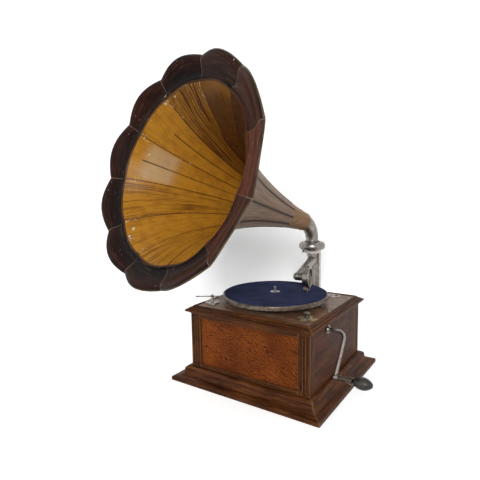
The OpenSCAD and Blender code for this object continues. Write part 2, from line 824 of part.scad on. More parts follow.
module on_speed_arm() { translate([fulcrum_at[0], fulcrum_at[1], speed_arm_z]) rotate(arm_dir) children(); }

speed_arm_l = norm(pad_at - fulcrum_at);

module speed_arm() {
    color(BRASS) on_speed_arm() {
        difference() {
            union() {
                translate([cam_off - fulcrum - 3, -arm_w / 2, 0])
                    cube([speed_arm_l + fulcrum - cam_off + 3, arm_w, arm_t]);
                translate([speed_arm_l, 0, 0]) cylinder(h = arm_t, r = arm_w / 2);
                translate([0, arm_w / 2, arm_t / 2]) rotate([90, 0, 0]) cylinder(h = arm_w, r = 4);
            }
            translate([0, arm_w, arm_t / 2]) rotate([90, 0, 0]) cylinder(h = 2 * arm_w, r = 1.5 + fit);
        }
        translate([cam_off - fulcrum, 0, nub_z - speed_arm_z - 0.5]) cylinder(h = 0.5, r = nub_r);
        translate([cam_off - fulcrum, 0, nub_z - speed_arm_z]) sphere(nub_r);
        translate([speed_arm_l, 0, arm_t]) cylinder(h = pad_z1 - speed_arm_z - arm_t, r = pad_r - 0.2);
    }
}

module speed_arm_bracket() {
    ear = 3;
    color(IRON) on_speed_arm() {
        for (side = [-1, 1]) translate([-5, side * (arm_w / 2 + seat + ear / 2) - ear / 2, -4])
            cube([10, ear, bed_z0 - speed_arm_z + 4]);
        translate([-5, -arm_w / 2 - seat - ear, bed_z0 - speed_arm_z - 3])
            cube([10, arm_w + 2 * (seat + ear), 3]);
        translate([0, arm_w / 2 + seat + 1, arm_t / 2]) rotate([90, 0, 0])
            cylinder(h = arm_w + 2 * seat + 2, r = 1.5);
    }
}

module speed_plate() {
    color(NICKEL) at(knob_at) translate([0, 0, board_z]) linear_extrude(1.5) difference() {
        union() {
            circle(11);
            for (k = [0 : 3]) rotate(90 * k) intersection() {
                translate([plate_4_r / 2, 14]) circle(plate_4_r - 0.4);
                translate([plate_4_r / 2, -14]) circle(plate_4_r - 0.4);
                square(2 * plate_4_r, center = true);
            }
        }
        circle(stem_r + fit);
    }
}

module speed_knob() {
    knob_z = board_z + 15;
    color(NICKEL) at(knob_at) {
        translate([0, 0, cam_z + 1]) cylinder(h = knob_z - cam_z - 1, r = stem_r);
        translate([0, 0, knob_z - 6]) cylinder(h = 4.5, r1 = 3.2, r2 = 7.5);
        translate([0, 0, knob_z - 1.5]) cylinder(h = 1.5, r = 7.5);
        translate([0, 0, board_z + 1.5 + seat]) cylinder(h = pointer_lift + 1.3, r = 5);
        rotate(-75) translate([0, 0, board_z + 1.5 + seat + pointer_lift]) {
            rotate([0, 90, 0]) cylinder(h = 26, r = 1.1);
            translate([27, 0, 0]) sphere(2.2);
        }
        difference() {
            translate([0, 0, cam_z - 3]) cylinder(h = 8, r = cam_r);
            translate([0, 0, cam_z]) rotate(arm_dir) rotate([cam_slope, 0, 0])
                translate([-15, -15, -30]) cube(30);
        }
    }
}

module brake_plate() {
    color(NICKEL) {
        at(brake_at) difference() {
            union() {
                translate([0, 0, board_z]) cylinder(h = 1.5, r = brake_plate_r);
                translate([0, 0, board_z + 1.5]) tube(1.6, brake_plate_r - 1, brake_plate_r - 4);
                translate([0, 0, board_z - 7]) cylinder(h = 7.5, r = 2.4);
                translate([0, 0, board_z]) cylinder(h = brake_z - board_z - seat, r = 4);
                translate([0, 0, brake_z - 1]) cylinder(h = 7, r = 2);
            }
        }
        at(brake_at + [23, -24]) {
            translate([0, 0, board_z]) cylinder(h = 3.4, r = 1.6);
            translate([0, 0, board_z + 4.6]) sphere(2.4);
        }
    }
}

module brake_lever() {
    color(NICKEL) at(brake_at) rotate(brake_dir) {
        difference() {
            union() {
                translate([-brake_tail, -2.5, brake_z]) cube([brake_tail + brake_reach - 4, 5, 2]);
                translate([-brake_tail, 0, brake_z]) cylinder(h = 2, r = 4);
                translate([0, 0, brake_z]) cylinder(h = 3, r = 5);
            }
            translate([0, 0, brake_z - 5]) cylinder(h = 20, r = 2 + fit);
        }
        translate([brake_reach - 5, -3, brake_z - 1]) cube([5, 6, 5]);
    }
}

module needle_cup() {
    color(NICKEL) at(cup_at) translate([0, 0, board_z - 12]) rotate_extrude() difference() {
        union() {
            square([cup_r - 3.2, 13]);
            translate([0, 12]) square([cup_r - 1, 1.6]);
            translate([cup_r - 1.6, 13]) circle(1);
        }
        translate([0, 1.2]) square([cup_r - 4.6, 20]);
    }
}

// Crank: a frame that lies on the crank's axis, with the arm pointing down
module crank_frame() { translate([0, crank_y, crank_z]) rotate([-crank_lean, 0, 0]) children(); }

module crank_rod() {
    color(STEEL) crank_frame() {
        translate([socket_x + 3.2, 0, 0]) rotate([0, 90, 0])
            cylinder(h = arm_x - rod_bend - socket_x - 3.2, r = rod_r);
        translate([arm_x - rod_bend, 0, -rod_bend]) rotate([90, 0, 0]) rotate_extrude(angle = 90)
            translate([rod_bend, 0]) circle(rod_r);
        translate([arm_x, 0, -crank_throw]) cylinder(h = crank_throw - rod_bend, r = rod_r);
        translate([arm_x, 0, -crank_throw]) sphere(rod_r + 1.5);
        translate([arm_x, 0, -crank_throw]) rotate([0, 90, 0])
            cylinder(h = rod_r + 3 + ferrule_l + grip_l - 9, r = rod_r - 1);
        translate([arm_x, 0, -crank_throw]) rotate([0, 90, 0]) cylinder(h = rod_r + 3, r = rod_r + 1.5);
    }
}

grip_x0 = arm_x + rod_r + 3 + seat;

module on_handle() { crank_frame() translate([grip_x0, 0, -crank_throw]) rotate([0, 90, 0]) children(); }

module crank_ferrule() {
    color(NICKEL) on_handle() difference() {
        union() {
            cylinder(h = 4, r = ferrule_r - 1);
            translate([0, 0, 3]) cylinder(h = ferrule_l - 8, r1 = ferrule_r - 2.6, r2 = ferrule_r - 1.6);
            translate([0, 0, ferrule_l - 6]) cylinder(h = 6, r = ferrule_r);
        }
        translate([0, 0, -1]) cylinder(h = ferrule_l + 2, r = rod_r - 1 + fit);
    }
}

module crank_grip() {
    egg = 26;
    color([0.08, 0.08, 0.09]) on_handle() difference() {
        translate([0, 0, ferrule_l + grip_l / 2]) rotate_extrude() intersection() {
            translate([grip_r - egg, 0]) circle(egg);
            translate([0, -grip_l / 2]) square([grip_r, grip_l]);
        }
        translate([0, 0, ferrule_l - 1]) cylinder(h = grip_l - 5, r = rod_r - 1 + fit);
    }
}

module crank_escutcheon() {
    color(NICKEL) on_crank_axis(0) difference() {
        union() {
            translate([0, 0, side_x - panel_t]) cylinder(h = panel_t + 1, r = rod_r + 2.9);
            translate([0, 0, side_x]) linear_extrude(2) for (k = [0 : 5]) rotate(60 * k) {
                translate([7.2, 0]) circle(3.6);
                circle(7);
            }
            translate([0, 0, side_x]) cylinder(h = 5, r1 = 7.5, r2 = 6);
        }
        translate([0, 0, side_x - panel_t - 1]) cylinder(h = 40, r = rod_r + fit);
    }
}

// Bracket: a foot on the back panel, an arm that turns up, and a ring around the swivel
module foot_screw_places() {
    for (x = [-1, 1], z = [-1, 1]) translate([x * (foot_w / 2 - 8), foot_y, foot_z + z * (foot_h / 2 - 9)])
        rotate([90, 0, 0]) children();
}

module back_bracket() {
    out_r = bracket_in_r + bracket_t;
    bend_y = bracket_y - bracket_in_r;
    bend_z = foot_z + out_r - bracket_t / 2;
    color(NICKEL) difference() {
        union() {
            translate([-foot_w / 2, foot_y, foot_z - foot_h / 2]) cube([foot_w, foot_t, foot_h]);
            translate([-bracket_w / 2, 0, 0]) rotate([90, 0, 90]) linear_extrude(bracket_w) {
                translate([foot_y, foot_z - bracket_t / 2]) square([bend_y - foot_y, bracket_t]);
                intersection() {
                    difference() {
                        translate([bend_y, bend_z]) circle(out_r);
                        translate([bend_y, bend_z]) circle(bracket_in_r);
                    }
                    translate([bend_y, bend_z - out_r]) square(out_r);
                }
                translate([bracket_y, bend_z]) square([bracket_t, ring_z + ring_h - bend_z]);
            }
            translate([0, bracket_y + 3, bend_z]) cylinder(h = ring_z - bend_z, r = 4);
            translate([0, pivot_back, ring_z]) cylinder(h = ring_h, r = ring_r);
            translate([-bracket_w / 2 + 3, pivot_back, ring_z])
                cube([bracket_w - 6, bracket_y - pivot_back + 1, ring_h]);
        }
        translate([0, pivot_back, 0]) cylinder(h = through, r = stub_r + fit);
        foot_screw_places() cylinder(h = 30, r = 2.05, center = true);
        translate([0, pivot_back, ring_z + ring_h / 2]) rotate([0, -90, 25]) cylinder(h = 40, r = 1.6);
    }
}

// Thumbscrew that keeps the tonearm's swivel in the ring
module thumbscrew() {
    color(NICKEL) translate([0, pivot_back, ring_z + ring_h / 2]) rotate([0, -90, 25]) {
        translate([0, 0, stub_r + 0.3]) cylinder(h = ring_r - stub_r + 3, r = 1.6 - snug);
        translate([0, 0, ring_r + 2]) cylinder(h = 2, r = 2.6);
        translate([0, 0, ring_r + 4]) cylinder(h = 3.5, r = 5);
    }
}

module collar() {
    color(NICKEL) translate([0, pivot_back, collar_z]) rotate_extrude() difference() {
        union() {
            translate([collar_r - collar_h / 2, collar_h / 2]) circle(collar_h / 2);
            square([collar_r - collar_h / 2, collar_h - 1]);
            translate([0, collar_h - 1.5]) square([elbow_r + 4, 3]);
        }
        translate([0, -1]) square([elbow_r + fit, collar_h + 10]);
    }
}

module horn_base() { translate([0, pivot_back, 0]) rotate(horn_turn) children(); }

// A ring of points around the elbow's centre line, at an angle b along its bend and then straight on
function elbow_ring(b, r, sides, on = 0) =
    [for (k = [0 : sides - 1]) let (a = 360 * k / sides, f = elbow_bend - r * cos(a))
        [r * sin(a), -(elbow_bend - f * cos(b)) - on * sin(b), elbow_z + f * sin(b) + on * cos(b)]];

// A closed loft through rings of m points, of which the last ring joins the first
module loop_loft(rings, m) {
    n = len(rings);
    id = function (i, j) i * m + j % m;
    polyhedron(points = [for (ring = rings) each ring], faces = [
        for (i = [0 : n - 1], j = [0 : m - 1]) let (k = (i + 1) % n)
            each [[id(i, j), id(k, j), id(i, j + 1)], [id(i, j + 1), id(k, j), id(k, j + 1)]]]);
}

// Elbow: a spigot in the collar, a flange on top of it, and a bend that widens into the horn's neck
module horn_elbow() {
    steps = 12;
    sides = 24;
    flange_z1 = collar_z1 + 1.5 + seat + 2;
    bend_r = function (f) elbow_r + (elbow_end_r - elbow_r) * f;
    skin = function (thin) concat(
        [elbow_ring(0, elbow_r - thin, sides, flange_z1 - 0.6 - elbow_z)],
        [for (i = [0 : steps]) elbow_ring(elbow_turn * i / steps, bend_r(i / steps) - thin, sides)],
        [elbow_ring(elbow_turn, elbow_end_r - thin, sides, 12)]);
    inner = skin(elbow_wall);
    color(NICKEL) horn_base() {
        loop_loft(concat(skin(0), [for (i = [len(inner) - 1 : -1 : 0]) inner[i]]), sides);
        translate([0, 0, collar_z + seat])
            tube(flange_z1 - 1 - collar_z - seat, elbow_r, elbow_r - elbow_wall - 1);
        translate([0, 0, flange_z1 - 2]) tube(2, elbow_r + 3, elbow_r - elbow_wall - 1);
    }
}

// The horn's own frame: its axis runs along +Z from the elbow's end, and +Y is its upper side
module horn_axis() {
    horn_base() translate([0, -elbow_bend * (1 - cos(elbow_turn)), elbow_z + elbow_bend * sin(elbow_turn)])
        rotate([elbow_turn, 0, 0]) children();
}

// Neck: a socket over the elbow's end, then a plain cone up to the petals
module horn_neck() {
    stations = [34, 50, 64, 78, 88, neck_len];
    socket_r = elbow_end_r + 0.1;
    color([0.42, 0.28, 0.17]) horn_axis() rotate_extrude() polygon(concat(
        [[socket_r, 0], [socket_r + 2.4, 0], [socket_r + 3.6, 2], [neck_r, 14]],
        [for (s = stations) [horn_r(s), s]],
        [for (i = [len(stations) - 1 : -1 : 0]) [horn_r(stations[i]) - sheet_t, stations[i]]],
        [[neck_r - sheet_t, 16], [socket_r, 13]]));
}

// Corner of a petal or of its rim, from its row [outer r, outer s, inner r, inner s, scallop]
function gore_point(row, side, k, j) = let (u = 2 * j / petal_cols - 1,
    r = row[2 * side] + row[4] * crown(u), half = petal_arc / 2 - seam_gap / r * 180 / PI,
    a = seam_first + petal_arc * (k + 0.5) - half * u)
    [r * cos(a), r * sin(a), row[2 * side + 1]];

function quad(a, b, c, d) = [[a, b, c], [a, c, d]];

// Eleven separate sheets between the seams, as one mesh: rows run from the neck to the mouth
module gores(rows) {
    n = len(rows);
    m = petal_cols + 1;
    id = function (k, side, i, j) ((k * 2 + side) * n + i) * m + j;
    polyhedron(
        points = [for (k = [0 : petals - 1], side = [0, 1], row = rows, j = [0 : m - 1])
            gore_point(row, side, k, j)],
        faces = [for (k = [0 : petals - 1]) each concat(
            [for (i = [0 : n - 2], j = [0 : m - 2]) each concat(
                quad(id(k, 0, i, j), id(k, 0, i, j + 1), id(k, 0, i + 1, j + 1), id(k, 0, i + 1, j)),
                quad(id(k, 1, i, j), id(k, 1, i + 1, j), id(k, 1, i + 1, j + 1), id(k, 1, i, j + 1)))],
            [for (i = [0 : n - 2]) each concat(
                quad(id(k, 0, i, 0), id(k, 0, i + 1, 0), id(k, 1, i + 1, 0), id(k, 1, i, 0)),
                quad(id(k, 0, i, m - 1), id(k, 1, i, m - 1),
                    id(k, 1, i + 1, m - 1), id(k, 0, i + 1, m - 1)))],
            [for (j = [0 : m - 2]) each concat(
                quad(id(k, 0, 0, j), id(k, 1, 0, j), id(k, 1, 0, j + 1), id(k, 0, 0, j + 1)),
                quad(id(k, 0, n - 1, j), id(k, 0, n - 1, j + 1),
                    id(k, 1, n - 1, j + 1), id(k, 1, n - 1, j)))])]);
}

// Stations along a petal, closer together towards the mouth
function petal_s(i) = let (f = i / petal_rings)
    neck_len + 0.2 + (horn_s1 - neck_len - 0.2) * (1 - (1 - f) ^ 1.5);

petal_rows = [for (i = [0 : petal_rings]) let (s = petal_s(i), r = horn_r(s), a = atan(horn_slope(s)))
    [r, s, r - sheet_t * cos(a), s + sheet_t * sin(a), throat_scallop(s)]];

module horn_petals() {
    color(OCHRE) horn_axis() gores(petal_rows);
}

// Seams: a folded strip outside each joint, shaped to the two petals that it holds
module horn_seams() {
    n = petal_rings;
    lift = 0.15;
    near = function (row, k, side, w) let (a = gore_point(row, 0, k, side > 0 ? 0 : petal_cols),
        b = gore_point(row, 0, k, side > 0 ? 1 : petal_cols - 1)) a + w / norm(b - a) * (b - a);
    out = function (p, d) let (r = norm([p[0], p[1]])) [p[0] * (r + d) / r, p[1] * (r + d) / r, p[2] - d / 2];
    section = function (row, k) let (left = near(row, (k + 1) % petals, -1, seam_w / 2),
        right = near(row, k, 1, seam_w / 2), mid = near(row, k, 1, 0))
        [out(left, lift), out(mid, lift), out(right, lift),
            out(right, lift + seam_t * 0.6), out(mid, lift + seam_t), out(left, lift + seam_t * 0.6)];
    rows = [for (i = [0 : n - 1]) petal_rows[i]];
    id = function (k, i, j) (k * n + i) * 6 + j % 6;
    color(OCHRE) horn_axis() polyhedron(
        points = [for (k = [0 : petals - 1], row = rows) each section(row, k)],
        faces = [for (k = [0 : petals - 1]) each concat(
            [for (i = [0 : n - 2], j = [0 : 5]) each
                quad(id(k, i, j), id(k, i + 1, j), id(k, i + 1, j + 1), id(k, i, j + 1))],
            [[for (j = [0 : 5]) id(k, 0, j)], [for (j = [5 : -1 : 0]) id(k, n - 1, j)]])]);
}

// Rim: a bead and a groove next to the petals, a hollow, and a full roll at the edge
rim_form = [[0, 0.4], [0.05, 2.4], [0.1, 2.2], [0.15, -0.8], [0.28, -2.6], [0.42, -2.4],
    [0.57, 0.4], [0.7, 3], [0.82, 4], [0.93, 2.6], [1, -1.5]];

module horn_rim() {
    n = len(rim_form);
    pt = function (i) let (f = rim_form[i])
        [throat_r + rim_w * f[0], horn_s1 + 1.2 + rim_d * f[0] + f[1]];
    // The first row lies against the petals' ends
    e = petal_rows[petal_rings];
    a = atan(horn_slope(horn_s1));
    join = [e[0] + 0.1 * sin(a), e[1] + 0.1 * cos(a), e[2] + 0.1 * sin(a), e[3] + 0.1 * cos(a), e[4]];
    rows = [for (i = [1 : n - 1])
        let (p = pt(i), d = pt(min(i + 1, n - 1)) - pt(i - 1), w = sheet_t / norm(d))
        [p[0] + w * d[1], p[1] - w * d[0], p[0], p[1], e[4] + (scallop - e[4]) * rim_form[i][0]]];
    color(RIM_BROWN) horn_axis() gores(concat([join], rows));
}

// Tonearm: the swivel stub, the tapered tube and the ribbed crook
module arm_frame() { translate([0, pivot_back, 0]) rotate(arm_turn) children(); }

crook_r = 9;
spigot_r = 6;
crook_end = box_in - 2 - seat;
tube_l = norm([arm_len, arm_z - arm_end_z]);

module swivel_section() {
    translate([0, flange_z - swivel_h - 6]) square([stub_r, swivel_h + 6 + ring_h - seat]);
    translate([0, flange_z - swivel_h]) square([swivel_r, swivel_h - seat]);
    right_half() translate([0, arm_z]) circle(arm_r0 + 2);
}

module swivel_bore() {
    right_half() translate([0, arm_z]) circle(arm_r0 - 1);
    translate([0, arm_z]) square([stub_r - 3.5, 100]);
}

// Crook: a knuckle, three beads and the spigot that the soundbox turns on
module crook_section() {
    right_half() {
        circle(crook_r + 1);
        square([crook_r, crook_end]);
        for (k = [0 : 2]) translate([crook_r, 3.2 + 4.4 * k]) circle(1.6);
        square([spigot_r, box_in + 3.5]);
    }
}

module crook_bore() {
    right_half() circle(arm_r1 - 2);
    square([spigot_r - 1.5, 60]);
}

module right_half() {
    intersection() {
        union() children();
        translate([0, -100]) square([100, 1000]);
    }
}

module on_crook() { translate([0, -arm_len, arm_end_z]) rotate([0, 90, 0]) children(); }

module arm_cone(thin) {
    translate([0, 0, arm_z]) rotate([90 + arm_fall, 0, 0])
        cylinder(h = tube_l, r1 = arm_r0 - thin, r2 = arm_r1 - thin);
}

module tonearm() {
    color(NICKEL) arm_frame() difference() {
        union() {
            on_crook() rotate_extrude() crook_section();
            arm_cone(0);
            rotate_extrude() swivel_section();
        }
        on_crook() rotate_extrude() crook_bore();
        arm_cone(3);
        rotate_extrude() swivel_bore();
    }
}

// Soundbox frame: its axis runs along +Z away from the tonearm, with +X straight down
module box_frame() {
    arm_frame() translate([0, -arm_len, soundbox_z]) rotate([0, 90, 0]) translate([0, 0, box_in]) children();
}

cell_r = soundbox_r - 2.5;
cell_z = 7;
mica_t = 0.6;
gasket_t = 1.5;
clamp_z = cell_z + 2 * gasket_t + mica_t;

module soundbox_body() {
    color(NICKEL) box_frame() {
        translate([0, 0, -2]) tube(3, crook_r + 1, spigot_r + fit);
        tube(4, soundbox_r, spigot_r + fit);
        translate([0, 0, 3]) tube(cell_z - 3, soundbox_r, cell_r - 3.5);
        translate([0, 0, cell_z - 1]) tube(clamp_z + 2 - cell_z, soundbox_r, cell_r);
        translate([0, 0, clamp_z / 2]) rotate(-needle_lean) translate([soundbox_r - 1, -4, -4])
            cube([5, 8, 8]);
    }
}

module soundbox_ring() {
    color(NICKEL) box_frame() rotate_extrude() difference() {
        union() {
            translate([cell_r - 4, clamp_z]) square([4 - snug, 2]);
            translate([cell_r - 4, clamp_z + 1])
                square([soundbox_r - cell_r + 2.5, soundbox_t - clamp_z - 1]);
            translate([soundbox_r - 1.5, clamp_z + 2.5]) circle(1.5);
            translate([cell_r - 3, soundbox_t - 0.5]) circle(1);
        }
        translate([cell_r - 5, 0]) square([30, clamp_z]);
        translate([cell_r - 0.02, clamp_z - 1]) square([5, 2]);
    }
}

// Mica diaphragm between its two rubber gaskets
module soundbox_diaphragm() {
    color([0.75, 0.72, 0.62]) box_frame() translate([0, 0, cell_z]) {
        tube(gasket_t, cell_r - snug, cell_r - 3);
        translate([0, 0, gasket_t]) cylinder(h = mica_t, r = cell_r - 0.3);
        translate([0, 0, gasket_t + mica_t]) tube(gasket_t, cell_r - snug, cell_r - 3);
    }
}

needle_lean = 30;
bar_z = soundbox_t + 0.6;
chuck_x = soundbox_r + 1;
needle_len = (soundbox_z - needle_tip_z) / cos(needle_lean);

// Stylus bar: from the diaphragm's middle down over the ring to the chuck and its clamp screw
module stylus_bar() {
    mica_z = cell_z + gasket_t + mica_t;
    color(NICKEL) box_frame() rotate(-needle_lean) difference() {
        union() {
            translate([0, 0, mica_z]) cylinder(h = bar_z + 1.4 - mica_z, r = 1.1);
            translate([0, 0, mica_z]) cylinder(h = 0.6, r = 3);
            translate([0, -1, bar_z]) cube([chuck_x, 2, 1.4]);
            translate([chuck_x + 3.3, -3.6, clamp_z / 2 - 3]) cube([3.4, 7.2, bar_z + 4.4 - clamp_z / 2]);
            translate([chuck_x - 1, -1, bar_z]) cube([5, 2, 1.4]);
            translate([chuck_x + 3.3, 0, bar_z - 4]) rotate([0, 90, 0]) cylinder(h = 5, r = 3);
            translate([chuck_x + 5, 0, bar_z - 4]) rotate([90, 0, 0]) cylinder(h = 8, r = 1.3);
            translate([chuck_x + 5, -8, bar_z - 4]) rotate([90, 0, 0]) cylinder(h = 3, r = 3);
        }
        translate([0, 0, bar_z - 4]) rotate([0, 90, 0]) cylinder(h = 60, r = 0.8 + snug);
    }
}

module needle() {
    color(STEEL) box_frame() rotate(-needle_lean) translate([0, 0, bar_z - 4]) rotate([0, 90, 0]) {
        translate([0, 0, chuck_x + 3.6]) cylinder(h = needle_len - chuck_x - 7.6, r = 0.8);
        translate([0, 0, needle_len - 4]) cylinder(h = 4, r1 = 0.8, r2 = 0.12);
    }
}

plinth_front();
plinth_back();
plinth_left();
plinth_right();
bottom_board();
front_panel();
front_rails();
back_panel();
left_panel();
right_panel();
corner_posts();
top_moulding_front();
top_moulding_back();
top_moulding_left();
top_moulding_right();
motor_board();
case_screws();
motor_bedplate();
motor_lower_plate();
motor_pillars();
spindle();
governor_wheel();
turntable_platter();
turntable_felt();
middle_arbor();
middle_wheel();
spring_barrel();
mainspring();
barrel_arbor();
contrate_wheel();
winding_shaft();
ratchet_pawl();
governor_shaft();
governor_weights();
governor_disc();
speed_arm();
speed_arm_bracket();
speed_knob();
speed_plate();
brake_plate();
brake_lever();
needle_cup();
crank_rod();
crank_escutcheon();
crank_ferrule();
crank_grip();
back_bracket();
thumbscrew();
collar();
horn_elbow();
horn_neck();
horn_petals();
horn_seams();
horn_rim();
tonearm();
soundbox_body();
soundbox_ring();
soundbox_diaphragm();
stylus_bar();
needle();
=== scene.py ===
"""Looks of a table-top horn gramophone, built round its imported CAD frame.

Everything is in the row frame: metres, +X the crank side, +Y the back, +Z up.
Sizes in the classes below are in millimetres, as on a maker's drawing.
"""

import logging
import math
from dataclasses import dataclass
from enum import Enum
from typing import Any, Callable, Sequence

import bpy
from mathutils import Matrix, Vector


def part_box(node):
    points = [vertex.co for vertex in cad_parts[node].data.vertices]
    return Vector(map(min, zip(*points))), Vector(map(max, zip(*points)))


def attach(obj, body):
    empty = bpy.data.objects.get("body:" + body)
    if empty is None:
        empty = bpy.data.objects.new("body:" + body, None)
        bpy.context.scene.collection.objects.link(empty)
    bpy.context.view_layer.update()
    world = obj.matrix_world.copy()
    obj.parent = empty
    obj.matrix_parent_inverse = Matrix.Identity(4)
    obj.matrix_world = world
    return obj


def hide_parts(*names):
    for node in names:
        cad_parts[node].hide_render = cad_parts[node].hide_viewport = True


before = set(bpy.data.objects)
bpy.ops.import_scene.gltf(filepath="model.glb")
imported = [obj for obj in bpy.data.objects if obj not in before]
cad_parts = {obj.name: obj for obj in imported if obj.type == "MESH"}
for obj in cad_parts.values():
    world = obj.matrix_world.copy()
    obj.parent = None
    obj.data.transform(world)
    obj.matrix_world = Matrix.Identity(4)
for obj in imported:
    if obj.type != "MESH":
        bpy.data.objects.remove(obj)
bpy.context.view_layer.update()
MM = 0.001

log = logging.getLogger("gramophone")

Point = tuple[float, float, float]
Row = tuple[float, float, float, float, float]
Node = bpy.types.Node
Source = bpy.types.Node | bpy.types.NodeSocket
Stops = Sequence[tuple[float, str]]
Tree = bpy.types.NodeTree


def linear(code: str) -> tuple[float, float, float, float]:
    """Turns an sRGB hex colour into linear RGBA.

    Args:
        code: colour such as "#8a5a2b".

    Returns:
        Linear red, green and blue, and an alpha of 1.
    """
    parts = [int(code[i:i + 2], 16) / 255 for i in (1, 3, 5)]
    red, green, blue = [c / 12.92 if c <= 0.04045 else ((c + 0.055) / 1.055) ** 2.4 for c in parts]
    return red, green, blue, 1.0


def per_metre(mm: float) -> float:
    """Gives a noise texture's scale for features of about mm millimetres."""
    return 1000.0 / mm


def bands(mm: float) -> float:
    """Gives a wave texture's scale for bands that are mm millimetres apart."""
    return 100.0 * math.pi / mm


def add(tree: Tree, kind: str, settings: dict[Any, Any] | None = None,
        links: dict[Any, Source] | Source | None = None) -> Node:
    """Adds one node to a tree with its settings and links.

    Args:
        tree: node tree that gets the node.
        kind: Blender's name of the node type, without ShaderNode before it.
        settings: value of each property or input; "stops" holds a ramp's (position, hex colour) pairs.
        links: what feeds each input, by its name or number. A source alone feeds the first input, and
            a node stands for its first output.

    Returns:
        The new node.
    """
    node = tree.nodes.new("ShaderNode" + kind)
    for key, value in (settings or {}).items():
        if key == "stops":
            ramp = node.color_ramp.elements
            while len(ramp) < len(value):
                ramp.new(1.0)
            for stop, (place, code) in zip(ramp, value):
                stop.position = place
                stop.color = linear(code)
            continue
        if isinstance(value, str) and value.startswith("#"):
            value = linear(value)
        if isinstance(key, str) and key not in node.inputs:
            setattr(node, key, value)
        else:
            node.inputs[key].default_value = value
    if not isinstance(links, dict):
        links = {} if links is None else {0: links}
    for key, source in links.items():
        tree.links.new(source.outputs[0] if isinstance(source, Node) else source, node.inputs[key])
    return node


def tint(tree: Tree, base: Source, mask: Source, stops: Stops, share: float) -> Node:
    """Multiplies a colour by a ramp over a mask.

    Args:
        tree: the material's tree.
        base: the colour.
        mask: what the ramp runs over.
        stops: the ramp's places and colours; white leaves the colour alone.
        share: strength of the whole tint.

    Returns:
        The tinted colour.
    """
    tone = add(tree, "ValToRGB", {"stops": stops}, mask)
    return add(tree, "MixRGB", {"blend_type": "MULTIPLY", "Fac": share}, {"Color1": base, "Color2": tone})


def lay(tree: Tree, base: Source, colour: str, mask: Source, start: float, full: float,
        share: float = 1.0) -> Node:
    """Lays one colour over another where a mask calls for it.

    Args:
        tree: the material's tree.
        base: the colour underneath.
        colour: hex colour that is laid over it.
        mask: what decides where.
        start: value of the mask at which it begins.
        full: value at which it is fullest.
        share: cover where it is fullest.

    Returns:
        The new colour.
    """
    cover = add(tree, "MapRange", {"From Min": start, "From Max": full, "To Max": share}, mask)
    return add(tree, "MixRGB", {"Color2": colour}, {"Fac": cover, "Color1": base})


def coat(tree: Tree, settings: dict[str, float], colour: Source, gloss: Source | None = None,
         relief: tuple[Source, float, float] | None = None, sunk: bool = False) -> Node:
    """Closes a finish with its shader.

    Args:
        tree: the material's tree.
        settings: the shader's values that are the same all over.
        colour: its base colour.
        gloss: its roughness, where that varies.
        relief: height of its surface, strength of the relief and its depth in millimetres.
        sunk: turns the relief inside out.

    Returns:
        The shader.
    """
    links = {"Base Color": colour}
    if gloss is not None:
        links["Roughness"] = gloss
    if relief is not None:
        height, strength, depth = relief
        links["Normal"] = add(tree, "Bump", {"Strength": strength, "Distance": depth * MM, "invert": sunk},
                              {"Height": height})
    return add(tree, "BsdfPrincipled", settings, links)


class Along(Enum):
    """Direction in which the grain of a wooden piece runs."""

    X = (0.07, 1.0, 1.0)
    Y = (1.0, 0.07, 1.0)
    Z = (1.0, 1.0, 0.07)


@dataclass(frozen=True)
class Finish:
    """A finish under the name of its material; each kind draws its own nodes."""

    name: str

    def surface(self, tree: Tree) -> Node:
        """Draws the finish in an empty tree and returns its shader."""
        raise NotImplementedError

    def material(self) -> bpy.types.Material:
        """Gives the finish's material, which is drawn once.

        Returns:
            The material.
        """
        found = bpy.data.materials.get(self.name)
        if found:
            return found
        made = bpy.data.materials.new(self.name)
        made.use_nodes = True
        made.node_tree.nodes.clear()
        add(made.node_tree, "OutputMaterial", links=self.surface(made.node_tree))
        return made


